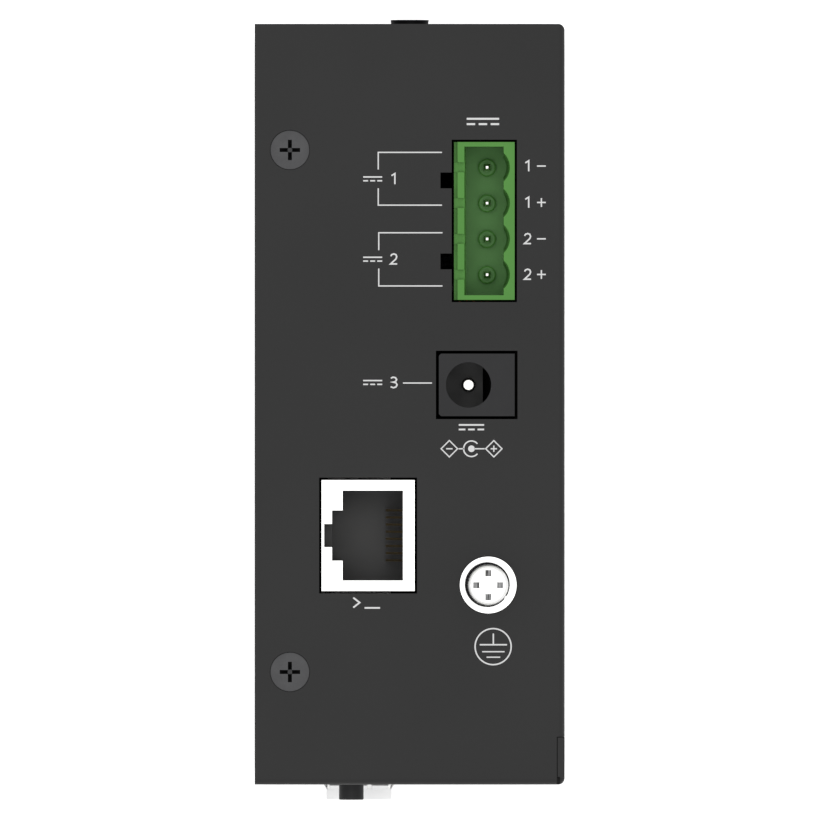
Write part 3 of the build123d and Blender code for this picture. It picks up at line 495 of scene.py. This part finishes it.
# One pair of opposite arms of a cross slot: widest at the face, sloping to its flat floor
def armCutter(cross, turned):
    size, floor, arm, depth = cross
    above = 0.05            # the cutter stands this far out of the face
    floorShare = 0.9        # the arm is this much narrower on its floor
    bm = bmesh.new()
    wide = size / 2 + (size - floor) / 2 * above / depth
    for reach, halfArm, z in ((wide, arm / 2, above), (floor / 2, arm / 2 * floorShare, -depth)):
        for along, across in ((reach, halfArm), (reach, -halfArm), (-reach, halfArm), (-reach, -halfArm)):
            corner = (across, along, z) if turned else (along, across, z)
            bm.verts.new(Vector(corner) * mm)
    bmesh.ops.convex_hull(bm, input=bm.verts)
    bmesh.ops.recalc_face_normals(bm, faces=bm.faces)
    return meshFrom(bm, "armCutter")


# A screw with its head's face at the origin: turned head, cross slot, threaded shank.
# The slot's sloping faces take the second material, which is painted shade, and its flat floor keeps the first.
def makeScrew(name, profile, screw, materials):
    mesh = turnMesh(name, profile, steps=72)
    for material in materials:
        mesh.materials.append(material)
    holder = addHolder(name, mesh)
    cutters = []
    for turned in (False, True):
        cutters.append(addHolder("armCutter", armCutter(screw["cross"], turned)))
        cut = holder.modifiers.new("cross slot", "BOOLEAN")
        cut.operation = "DIFFERENCE"
        cut.solver = "EXACT"
        cut.object = cutters[-1]
    mesh = settle(holder)
    for cutter in cutters:
        bpy.data.objects.remove(cutter)
    tip = screw["cross"][0] / 2 * mm
    depth = screw["cross"][3] * mm
    skin = 0.02 * mm        # faces this near the head's face aren't in the slot
    # the slot's sloping faces get the second material, the painted shade
    for polygon in mesh.polygons:
        centre = polygon.center
        inside = Vector(centre[:2]).length < tip and -depth - skin < centre.z < -skin
        polygon.material_index = 1 if inside and polygon.normal.z < faceOn else 0
    mesh = runGroup(addHolder(name, mesh), rodTree, rodSockets, {
        "Radius": screw["shank"] / 2 * mm, "Length": screw["length"] * mm, "Start Below": screw["headDeep"] * mm,
        "Pitch": screw["pitch"] * mm, "Finish": materials[0],
    })
    return addHolder(name, mesh)


# Painted shade on the sloping faces of a cross slot: near black and dull, standing in for the shade down in the slot
slotPaintedShade = makeSurface("paintedShadeSlotFaces", {
    "colour": "#0a0a0a", "colourAway": "#0d0d0d", "grainMm": 0.2, "cloudMm": 1.0,
    "roughness": (0.7, 0.8), "bump": 0.05, "bumpMm": 0.01, "sockets": {"Specular IOR Level": 0.05},
})

# Oxide blackened steel, darker than the zinc of the cover's screws
blackOxide = makeSurface("blackOxideSteel", {
    "colour": "#1f1f20", "colourAway": "#1b1b1c", "grainMm": 0.2, "cloudMm": 1.0,
    "roughness": (0.45, 0.55), "bump": 0.06, "bumpMm": 0.01, "metallic": 1.0,
})

# Countersunk M3 screws of the cover, in the top and in the base
countersunk = {
    "head": 5.6, "shank": 3.0, "length": 4.6, "headDeep": 1.3, "rim": 0.1, "pitch": 0.5,
    "cross": (2.9, 0.62, 0.56, 1.15),       # tip to tip, floor, arm and depth
}
wide = countersunk["head"] / 2
rim = countersunk["rim"]
coverScrew = makeScrew("countersunkScrew", [
    (0, 0),
    *profileArc((wide - rim, -rim), rim, 90, 0, count=3),
    (countersunk["shank"] / 2, -countersunk["headDeep"]),
    (0, -countersunk["headDeep"]),
], countersunk, [finishes["black_zinc_steel"], slotPaintedShade])
setPieces("topCoverScrews", coverScrew, endPlaces("top_cover_screws", 2, 1), {
    "Tilt": (0.0, 0.0, 0.0), "Turn Range": 0.0, "Seed": 1,
}, "black_zinc_steel", "top_cover_screws")
setPieces("baseCoverScrews", coverScrew, endPlaces("base_cover_screws", 2, -1), {
    "Tilt": (math.pi, 0.0, 0.0), "Turn Range": 1.5, "Seed": 4,
}, "black_zinc_steel", "base_cover_screws")
bpy.data.objects.remove(coverScrew)

# Low headed M3 screws of the rail clip's place, dished inside a raised rim
lowHeaded = {
    "head": 5.46, "flare": 0.12, "shank": 3.0, "length": 4.9, "headDeep": 0.76, "dish": 0.08, "rim": 0.25,
    "edge": 0.04, "pitch": 0.5, "cross": (2.9, 0.62, 0.56, 0.62),
}
wide = lowHeaded["head"] / 2
clipScrew = makeScrew("lowHeadedScrew", [
    (0, -lowHeaded["dish"]),
    (wide - lowHeaded["rim"] - lowHeaded["dish"], -lowHeaded["dish"]),
    (wide - lowHeaded["rim"], 0),
    (wide - lowHeaded["edge"], 0),
    (wide, -lowHeaded["edge"]),
    (wide - lowHeaded["flare"], -lowHeaded["headDeep"]),
    (0, -lowHeaded["headDeep"]),
], lowHeaded, [blackOxide, slotPaintedShade])
setPieces("clipScrews", clipScrew, endPlaces("clip_screws", 1, 1), {
    "Tilt": (-math.pi / 2, 0.0, 0.0), "Turn Range": 1.5, "Seed": 9,
}, "black_zinc_steel", "clip_screws")
bpy.data.objects.remove(clipScrew)

# Pan headed M3 screws that hold the main board on its spacers
panHeaded = {
    "head": 5.4, "shank": 3.0, "length": 4.9, "headDeep": 1.8, "round": 0.7, "pitch": 0.5,
    "cross": (2.7, 0.7, 0.5, 1.1),
}
wide = panHeaded["head"] / 2
boardScrew = makeScrew("panHeadedScrew", [
    (0, 0),
    *profileArc((wide - panHeaded["round"], -panHeaded["round"]), panHeaded["round"], 90, 0),
    (wide, -panHeaded["headDeep"]),
    (0, -panHeaded["headDeep"]),
], panHeaded, [finishes["plated_steel"], slotPaintedShade])
setPieces("boardScrews", boardScrew, endPlaces("board_screws", 0, -1), {
    "Tilt": (0.0, -math.pi / 2, 0.0), "Turn Range": 1.5, "Seed": 6,
}, "plated_steel", "board_screws")
bpy.data.objects.remove(boardScrew)
print("stage: M3 screws set")

# Ground screw: pan head M4 whose shallow cross has a bright flat floor and four sloping ends darkened by painted
# shade
ground = {
    "head": 5.8, "shank": 4.0, "length": 7.9, "headDeep": 2.4, "round": 0.6, "pitch": 0.7,
    "cross": (4.3, 2.5, 0.85, 0.5),
    # painted shade on the slot's sloping ends, in dark and pale bars 0.3 mm apart that stand in for their shading
    "ends": {
        "colour": "#303030", "colourAway": "#a6a6a6", "grainMm": 0.3, "cloudMm": 0.22, "stretch": (1, 0.08, 0.08),
        "roughness": (0.5, 0.6), "bump": 0.1, "bumpMm": 0.02,
    },
}
wide = ground["head"] / 2
groundLow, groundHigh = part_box("ground_screw")
groundScrew = makeScrew("panHeadedGroundScrew", [
    (0, 0),
    *profileArc((wide - ground["round"], -ground["round"]), ground["round"], 90, 0, count=8),
    (wide, -ground["headDeep"]),
    (0, -ground["headDeep"]),
], ground, [finishes["plated_steel"], makeSurface("paintedShadeSlotEnds", ground["ends"])])
groundTop = ((groundLow.x + groundHigh.x) / 2, (groundLow.y + groundHigh.y) / 2, groundHigh.z)
setPieces("groundScrew", groundScrew, [groundTop], {
    "Tilt": (0.0, 0.0, 0.0), "Turn Range": 0.0, "Seed": 1,
}, "plated_steel", "ground_screw")
bpy.data.objects.remove(groundScrew)

# Spring washer under it: one turn of dark square wire whose ends stand a little apart
spring = {"inner": 4.36, "outer": 6.35, "thick": 0.72, "steps": 80, "split": 9.0, "splitAt": -35.0}
springLow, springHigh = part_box("ground_spring_washer")
springMiddle = (springLow + springHigh) / 2
springThick = spring["thick"] * mm
springMesh = bmesh.new()
rings = []
for i in range(spring["steps"] + 1):
    part = i / spring["steps"]
    angle = math.radians(spring["splitAt"] + spring["split"] / 2 + (360 - spring["split"]) * part)
    low = springLow.z + (springHigh.z - springLow.z - springThick) * part
    ring = []
    for radius, z in (("inner", 0), ("outer", 0), ("outer", springThick), ("inner", springThick)):
        reach = spring[radius] / 2 * mm
        x = springMiddle.x + reach * math.cos(angle)
        y = springMiddle.y + reach * math.sin(angle)
        ring.append(springMesh.verts.new((x, y, low + z)))
    rings.append(ring)
joinRings(springMesh, rings)
washerMesh = meshFrom(springMesh, "groundSpringWasher", blackOxide)
springPiece = addPiece("groundSpringWasher", washerMesh)
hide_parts("ground_spring_washer")
print("stage: ground screw and its spring washer set")

# Centre pin of the power jack, its tip drawn in a little, with the flat tail behind the housing
pin = {"size": 2.05, "tip": 1.5, "round": 0.08, "taper": 0.6, "tail": 0.8, "tailWide": 2.2}
wide = pin["tip"] / 2
pinLow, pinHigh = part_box("power_jack_pin")
deep = (pinHigh.z - pinLow.z) / mm
pinTurned = turnMesh("jackPin", [
    (0, 0),
    *profileArc((wide - pin["round"], -pin["round"]), pin["round"], 90, 0, count=3),
    (pin["size"] / 2, -pin["taper"]),
    (pin["size"] / 2, -deep),
    (0, -deep),
], steps=40, smoothDegrees=15.0)
pinTurned.transform(Matrix.Translation((*jackAxis, pinHigh.z)))
pinMesh = bmesh.new()
pinMesh.from_mesh(pinTurned)
half = pin["tailWide"] / 2 * mm
tailTop = pinLow.z + pin["tail"] * mm
addBlock(pinMesh, (jackAxis.x, jackAxis.y - half, pinLow.z), (pinHigh.x, jackAxis.y + half, tailTop))
pinPiece = addPiece("jackPin", meshFrom(pinMesh, "jackPin", finishes["tinned_brass"]))
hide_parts("power_jack_pin")

# Leaf of the power jack: upright where it touches the plug, then leaning back into its slot
leaf = {"thick": 0.3, "upright": 2.5, "leanBack": 0.24, "tail": 0.8, "tailWide": 2.2}
leafLow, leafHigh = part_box("power_jack_leaf")
half = leaf["thick"] / 2 * mm
leafMesh = bmesh.new()
rings = []
for z, back in ((leafLow.z, 0), (leafLow.z + leaf["upright"] * mm, 0), (leafHigh.z, leaf["leanBack"] * mm)):
    x = leafLow.x + half + back
    corners = ((x - half, leafLow.y), (x + half, leafLow.y), (x + half, leafHigh.y), (x - half, leafHigh.y))
    rings.append([leafMesh.verts.new((*corner, z)) for corner in corners])
joinRings(leafMesh, rings)
half = leaf["tailWide"] / 2 * mm
tailTop = leafLow.z + leaf["tail"] * mm
addBlock(leafMesh, (leafLow.x, jackAxis.y - half, leafLow.z), (leafHigh.x, jackAxis.y + half, tailTop))
leafPiece = addPiece("jackLeaf", meshFrom(leafMesh, "jackLeaf", finishes["tinned_brass"]))
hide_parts("power_jack_leaf")
print("stage: pin and leaf of the power jack set")

# Square pins of the terminal header: each tip slopes steeply in to a small flat
post = {"size": 1.0, "flat": 0.34, "taper": 1.1}
postBoxes = solidBoxes("terminal_pins")
postLow, postHigh = postBoxes[0]
deep = postHigh.z - postLow.z
half = post["size"] / 2 * mm
postMesh = bmesh.new()
rings = []
for reach, z in ((post["flat"] / 2 * mm, 0), (half, -post["taper"] * mm), (half, -deep)):
    corners = ((-reach, -reach), (reach, -reach), (reach, reach), (-reach, reach))
    rings.append([postMesh.verts.new((*corner, z)) for corner in corners])
joinRings(postMesh, rings)
# the tail is as thick as the pin and reaches the board
addBlock(postMesh, (-half, -half, -deep), (postHigh.x - postLow.x - half, half, 2 * half - deep))
postHolder = addHolder("terminalPin", meshFrom(postMesh, "terminalPin", finishes["tinned_brass"]))
postPlaces = [(low.x + half, (low.y + high.y) / 2, high.z) for low, high in postBoxes]
setPieces("terminalPins", postHolder, postPlaces, {
    "Tilt": (0.0, 0.0, 0.0), "Turn Range": 0.0, "Seed": 5,
}, "tinned_brass", "terminal_pins")
bpy.data.objects.remove(postHolder)
print("stage: header pins set")

# Lamps: the front end of each is a low dome
lamp = {"size": 3.0, "dome": 0.35, "length": 3.1}
wide = lamp["size"] / 2
domeRadius = (wide**2 + lamp["dome"]**2) / (2 * lamp["dome"])
domeHalf = math.degrees(math.asin(wide / domeRadius))
lampMesh = turnMesh("lamp", [
    *profileArc((0, -domeRadius), domeRadius, 90, 90 - domeHalf, count=5),
    (wide, -lamp["length"]),
    (0, -lamp["length"]),
], steps=32)
lampMesh.materials.append(finishes["lamp_resin"])
lampHolder = addHolder("lamp", lampMesh)
setPieces("frontLamps", lampHolder, endPlaces("lamps", 1, -1), {
    "Tilt": (math.pi / 2, 0.0, 0.0), "Turn Range": 0.0, "Seed": 2,
}, "lamp_resin", "lamps")
bpy.data.objects.remove(lampHolder)

# Capacitors: sleeved cans with a rolled neck and a bare aluminium top
can = {
    "size": 12.0, "length": 18.0, "round": 0.8, "neck": 0.45, "neckAt": 2.4, "bare": 4.6, "sunk": 0.35, "lip": 0.25,
}
wide = can["size"] / 2
canMesh = turnMesh("capacitor", [
    (0, -can["sunk"]),
    (can["bare"], -can["sunk"]),
    (can["bare"] + can["lip"], 0),
    *profileArc((wide - can["round"], -can["round"]), can["round"], 90, 0, count=5),
    (wide, can["neckAt"] + can["neck"] - can["length"]),
    (wide - can["neck"], can["neckAt"] - can["length"]),
    (wide, can["neckAt"] - can["neck"] - can["length"]),
    (wide, -can["length"]),
    (0, -can["length"]),
], steps=56)
for material in (finishes["capacitor_sleeve"], finishes["extruded_aluminium"]):
    canMesh.materials.append(material)
for polygon in canMesh.polygons:
    bare = Vector(polygon.center[:2]).length < can["bare"] * mm and polygon.center.z > -can["length"] / 2 * mm
    polygon.material_index = 1 if bare else 0
canHolder = addHolder("capacitor", canMesh)
setPieces("boardCapacitors", canHolder, endPlaces("capacitors", 0, -1), {
    "Tilt": (0.0, -math.pi / 2, 0.0), "Turn Range": 0.0, "Seed": 3,
}, "capacitor_sleeve", "capacitors")
bpy.data.objects.remove(canHolder)
print("stage: lamps and capacitors set")

# Node group: winds a wire round a ring core of nearly square section
windShape = {"points": 780, "squareness": 0.45, "wireSides": 8}
windTree, windSockets, given = startGroup("windRing", {
    "Turns": "Float", "Arc": "Float", "Ring Radius": "Float", "Half Width": "Float", "Half Height": "Float",
    "Wire Radius": "Float", "Finish": "Material",
})
line = addNode(windTree, "GeometryNodeCurvePrimitiveLine", {"End": (1.0, 0.0, 0.0)})
line = addNode(windTree, "GeometryNodeResampleCurve", {
    "Curve": line.outputs["Curve"],
    "Count": windShape["points"],
})
along = addNode(windTree, "GeometryNodeSplineParameter").outputs["Factor"]
sweep = addNode(windTree, "ShaderNodeMath", {0: along, 1: given["Arc"]}, operation="MULTIPLY").outputs[0]
circles = addNode(windTree, "ShaderNodeMath", {0: along, 1: given["Turns"]}, operation="MULTIPLY").outputs[0]
circles = addNode(windTree, "ShaderNodeMath", {0: circles, 1: math.tau}, operation="MULTIPLY").outputs[0]
spread = []
for function, reach in (("COSINE", "Half Width"), ("SINE", "Half Height")):
    wave = addNode(windTree, "ShaderNodeMath", {0: circles}, operation=function).outputs[0]
    size = addNode(windTree, "ShaderNodeMath", {0: wave}, operation="ABSOLUTE").outputs[0]
    size = addNode(windTree, "ShaderNodeMath", {0: size, 1: windShape["squareness"]}, operation="POWER").outputs[0]
    side = addNode(windTree, "ShaderNodeMath", {0: wave}, operation="SIGN").outputs[0]
    size = addNode(windTree, "ShaderNodeMath", {0: size, 1: side}, operation="MULTIPLY").outputs[0]
    spread.append(addNode(windTree, "ShaderNodeMath", {0: size, 1: given[reach]}, operation="MULTIPLY").outputs[0])
radius = addNode(windTree, "ShaderNodeMath", {0: given["Ring Radius"], 1: spread[0]}, operation="ADD").outputs[0]
flat = []
for function in ("COSINE", "SINE"):
    wave = addNode(windTree, "ShaderNodeMath", {0: sweep}, operation=function).outputs[0]
    flat.append(addNode(windTree, "ShaderNodeMath", {0: wave, 1: radius}, operation="MULTIPLY").outputs[0])
spot = addNode(windTree, "ShaderNodeCombineXYZ", {"X": flat[0], "Y": flat[1], "Z": spread[1]})
placed = addNode(windTree, "GeometryNodeSetPosition", {
    "Geometry": line.outputs["Curve"],
    "Position": spot.outputs["Vector"],
})
wire = addNode(windTree, "GeometryNodeCurvePrimitiveCircle", {
    "Resolution": windShape["wireSides"],
    "Radius": given["Wire Radius"],
})
wound = addNode(windTree, "GeometryNodeCurveToMesh", {
    "Curve": placed.outputs["Geometry"],
    "Profile Curve": wire.outputs["Curve"],
    "Fill Caps": True,
})
wound = addNode(windTree, "GeometryNodeSetMaterial", {
    "Geometry": wound.outputs["Mesh"],
    "Material": given["Finish"],
})
withCore = addNode(windTree, "GeometryNodeJoinGeometry")
for source in (wound.outputs["Geometry"], given["Geometry"]):
    windTree.links.new(source, withCore.inputs["Geometry"])
addNode(windTree, "NodeGroupOutput", {"Geometry": withCore.outputs["Geometry"]})

# Choke: a coated iron powder ring with one open winding of enamelled copper
choke = {
    "outer": 14.3, "inner": 8.7, "high": 5.3, "edge": 0.6, "wire": 0.4, "clear": 0.05, "turns": 26.0, "arc": 5.4,
    # an epoxy coat, dull olive and slightly uneven
    "core": {
        "colour": "#6d7a3c", "colourAway": "#748240", "grainMm": 0.4, "cloudMm": 4.0,
        "roughness": (0.5, 0.62), "bump": 0.15, "bumpMm": 0.03,
    },
}
low, high = choke["inner"] / 2, choke["outer"] / 2
side, edge = choke["high"] / 2, choke["edge"]
coreMesh = turnMesh("chokeCore", [
    (low + edge, side), (high - edge, side), (high, side - edge), (high, edge - side), (high - edge, -side),
    (low + edge, -side), (low, edge - side), (low, side - edge), (low + edge, side),
], steps=56)
coreMesh.materials.append(makeSurface("coatedIronPowder", choke["core"]))
gap = choke["wire"] + choke["clear"]
woundMesh = runGroup(addHolder("chokeCore", coreMesh), windTree, windSockets, {
    "Turns": choke["turns"], "Arc": choke["arc"], "Ring Radius": (low + high) / 2 * mm,
    "Half Width": ((high - low) / 2 + gap) * mm, "Half Height": (side + gap) * mm,
    "Wire Radius": choke["wire"] * mm, "Finish": finishes["copper_winding"],
})
chokeLow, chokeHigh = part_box("choke_coil")
woundMesh.transform(Matrix.Translation((chokeLow + chokeHigh) / 2) @ Matrix.Rotation(-math.pi / 2, 4, "Y"))
chokePiece = addPiece("woundChoke", woundMesh)
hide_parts("choke_coil")
print("stage: choke wound")

# Printed marks on the top, in millimetres from its middle: plain numbers, signs and common symbols
marks = {
    # epoxy screen ink, off white and matt
    "ink": {
        "colour": "#cccccc", "colourAway": "#c8c8c8", "grainMm": 0.3, "cloudMm": 4.0,
        "roughness": (0.55, 0.65), "bump": 0.05, "bumpMm": 0.005, "sockets": {"Specular IOR Level": 0.2},
    },
    "thick": 0.02,
    # path of each number, as shares of its height
    "numberHigh": 1.5,
    "numberLine": 0.21,
    "numbers": {
        "1": ((-0.22, 0.8), (0.1, 1.0), (0.1, 0.0)),
        "2": (
            (-0.29, 0.78), (-0.2, 0.93), (0.0, 1.0), (0.2, 0.93), (0.28, 0.73), (0.2, 0.52), (-0.3, 0.05),
            (0.32, 0.05),
        ),
        "3": (
            (-0.28, 0.9), (-0.08, 1.0), (0.16, 0.95), (0.27, 0.77), (0.17, 0.58), (-0.06, 0.53), (0.2, 0.47),
            (0.31, 0.28), (0.2, 0.07), (-0.05, 0.0), (-0.3, 0.1),
        ),
    },
    # brackets that join the two poles of an input, and the line to the power jack
    "bracketLine": 0.18,
    "brackets": (
        ((4.585, 35.76), (-4.457, 35.76), (-4.457, 33.34)),
        ((-4.457, 30.66), (-4.457, 28.27), (4.585, 28.27)),
        ((4.656, 24.35), (-4.386, 24.35), (-4.386, 21.88)),
        ((-4.386, 19.27), (-4.386, 16.80), (4.656, 16.80)),
        ((-0.95, 3.02), (3.165, 3.02)),
    ),
    # direct current signs: middle, length and line, then their height and dashes as shares of line and length
    "currentSigns": (
        ((-5.25, 32.0), 2.7, 0.2), ((-5.25, 20.6), 2.7, 0.2), ((-5.25, 3.1), 2.7, 0.2),
        ((10.4, 40.15), 4.6, 0.28), ((8.77, -3.25), 3.6, 0.24),
    ),
    "currentRise": 1.35, "dashApart": 0.37, "dashHalf": 0.13,
    "inputNumbers": (("1", (-2.25, 32.0)), ("2", (-2.25, 20.6)), ("3", (-2.25, 3.1))),
    # beside each pole of the header, its input's number and a minus or plus
    "poles": (("1", False, 33.82), ("1", True, 28.65), ("2", False, 23.49), ("2", True, 18.43)),
    "poleNumberX": 16.75, "poleSignX": 18.7, "poleSign": 1.25, "poleSignLine": 0.2,
    # polarity sign under the power jack, minus outside and plus on the centre pin: middle, half height, plus
    "diamonds": (((5.635, -6.31), 1.17, False), ((11.95, -6.31), 1.16, True)),
    "diamondLine": 0.17, "diamondSign": 0.9, "diamondSignLine": 0.18,
    # its cup and dot, and the earth sign's ring: middle, radius, line, first and last angle, and steps
    "arcs": (
        ((8.77, -6.31), 1.107, 0.19, 40.0, 320.0, 36),
        ((8.77, -6.31), 0.235, 0.47, 0.0, 360.0, 24),
        ((11.85, -34.4), 2.56, 0.2, 0.0, 360.0, 48),
    ),
    # links of the polarity sign, bars of the earth sign, then a prompt and its cursor: line and path
    "strokes": (
        (0.18, ((6.94, -6.31), (7.71, -6.31))),
        (0.18, ((9.2, -6.31), (10.65, -6.31))),
        (0.2, ((11.88, -32.54), (11.88, -34.02))),
        (0.21, ((9.95, -34.13), (13.83, -34.13))),
        (0.18, ((10.29, -35.12), (13.47, -35.12))),
        (0.18, ((10.92, -35.9), (12.86, -35.9))),
        (0.24, ((-8.0, -27.45), (-7.1, -28.15), (-8.0, -28.85))),
        (0.24, ((-6.4, -28.9), (-4.2, -28.9))),
    ),
}
ink = makeSurface("whiteScreenInk", marks["ink"])
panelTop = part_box("chassis")[1].z
inkMesh = bmesh.new()


# A line of ink through points, with mitred corners
def addStroke(points, width, closed=False):
    path = [Vector(point) * mm for point in points]
    last = len(path) - 1
    rings = []
    for i, here in enumerate(path):
        before = path[i - 1] if closed or i > 0 else here * 2 - path[1]
        after = path[(i + 1) % len(path)] if closed or i < last else here * 2 - path[i - 1]
        inward = (here - before).normalized()
        outward = (after - here).normalized()
        across = Vector((-inward.y - outward.y, inward.x + outward.x)).normalized()
        reach = width * mm / 2 / across.dot(Vector((-inward.y, inward.x)))
        ring = []
        for side, z in ((1, 0), (1, 1), (-1, 1), (-1, 0)):
            spot = here + across * reach * side
            ring.append(inkMesh.verts.new((spot.x, spot.y, panelTop + z * marks["thick"] * mm)))
        rings.append(ring)
    joinRings(inkMesh, rings, closed)


def addArc(centre, radius, width, start, end, count):
    closed = end - start >= 360
    steps = count if closed else count + 1
    turns = [math.radians(start + (end - start) * i / count) for i in range(steps)]
    addStroke([(centre[0] + radius * math.cos(t), centre[1] + radius * math.sin(t)) for t in turns], width, closed)


def addDiamond(centre, half, width):
    x, y = centre
    addStroke([(x + half, y), (x, y + half), (x - half, y), (x, y - half)], width, closed=True)


def addSign(centre, size, width, plus):
    x, y = centre
    addStroke([(x - size / 2, y), (x + size / 2, y)], width)
    if plus:
        addStroke([(x, y + size / 2), (x, y + width / 2)], width)
        addStroke([(x, y - width / 2), (x, y - size / 2)], width)


# The sign for direct current: a line over three dashes
def addCurrentSign(centre, size, width):
    x, y = centre
    rise = width * marks["currentRise"]
    half = size * marks["dashHalf"]
    addStroke([(x - size / 2, y + rise), (x + size / 2, y + rise)], width)
    for i in (-1, 0, 1):
        middle = x + i * size * marks["dashApart"]
        addStroke([(middle - half, y - rise), (middle + half, y - rise)], width)


def addNumber(number, centre):
    high = marks["numberHigh"]
    path = [(centre[0] + x * high, centre[1] + (y - 0.5) * high) for x, y in marks["numbers"][number]]
    addStroke(path, marks["numberLine"])


for points in marks["brackets"]:
    addStroke(points, marks["bracketLine"])
for centre, size, width in marks["currentSigns"]:
    addCurrentSign(centre, size, width)
for number, centre in marks["inputNumbers"]:
    addNumber(number, centre)
for number, plus, y in marks["poles"]:
    addNumber(number, (marks["poleNumberX"], y))
    addSign((marks["poleSignX"], y), marks["poleSign"], marks["poleSignLine"], plus)
for centre, half, plus in marks["diamonds"]:
    addDiamond(centre, half, marks["diamondLine"])
    addSign(centre, marks["diamondSign"], marks["diamondSignLine"], plus)
for centre, radius, width, start, end, count in marks["arcs"]:
    addArc(centre, radius, width, start, end, count)
for width, points in marks["strokes"]:
    addStroke(points, width)
addPiece("topMarks", meshFrom(inkMesh, "topMarks", ink))
print("stage: top printed")

# Floor and light, in metres and watts, but for the floor's drop under the case, which is in millimetres
studio = {
    "floorSize": 6.0, "floorDrop": 0.05, "world": 0.95,
    "boxWatts": 3.6, "boxSize": 0.6, "boxAside": 0.42, "boxHigh": 2.4,
    # matt white paper lit from behind, so that it stays white and shows no grain
    "floor": {
        "colour": "#f4f4f4", "colourAway": "#f4f4f4", "grainMm": 2.0, "cloudMm": 300.0,
        "roughness": (0.9, 1.0), "bump": 0.0, "bumpMm": 0.1,
        "sockets": {"Specular IOR Level": 0.0, "Emission Color": (1, 1, 1, 1), "Emission Strength": 0.55},
    },
}
bpy.ops.mesh.primitive_plane_add(size=studio["floorSize"], location=(0, 0, -studio["floorDrop"] * mm))
floor = bpy.context.object
floor.name = "floor"
floor.data.materials.append(makeSurface("backlitStudioPaper", studio["floor"]))
world = bpy.data.worlds.new("softStudio")
bpy.context.scene.world = world
world.use_nodes = True
background = world.node_tree.nodes["Background"]
background.inputs["Color"].default_value = (1, 1, 1, 1)
background.inputs["Strength"].default_value = studio["world"]
# Four soft boxes overhead, with a clear cross between them, so that no light goes straight down a seam
for alongX, alongY in ((-1, -1), (-1, 1), (1, -1), (1, 1)):
    box = bpy.data.objects.new("softBox", bpy.data.lights.new("softBox", "AREA"))
    box.data.energy = studio["boxWatts"]
    box.data.size = studio["boxSize"]
    box.location = (alongX * studio["boxAside"], alongY * studio["boxAside"], studio["boxHigh"])
    bpy.context.scene.collection.objects.link(box)

# The camera looks straight down from far off with a long lens, as in the photograph
view = {
    "lens": 1200.0, "sensor": 36.0, "aboveTop": 3.88, "centre": (0.05 * mm, -0.81 * mm), "near": 0.5, "far": 12.0,
}
camera = bpy.data.objects.new("camera", bpy.data.cameras.new("camera"))
camera.data.lens = view["lens"]
camera.data.sensor_width = view["sensor"]
camera.data.clip_start = view["near"]
camera.data.clip_end = view["far"]
camera.location = (*view["centre"], panelTop + view["aboveTop"])
bpy.context.scene.collection.objects.link(camera)
bpy.context.scene.camera = camera
bpy.context.scene.view_settings.view_transform = "Standard"
print("stage: floor, light and camera set")
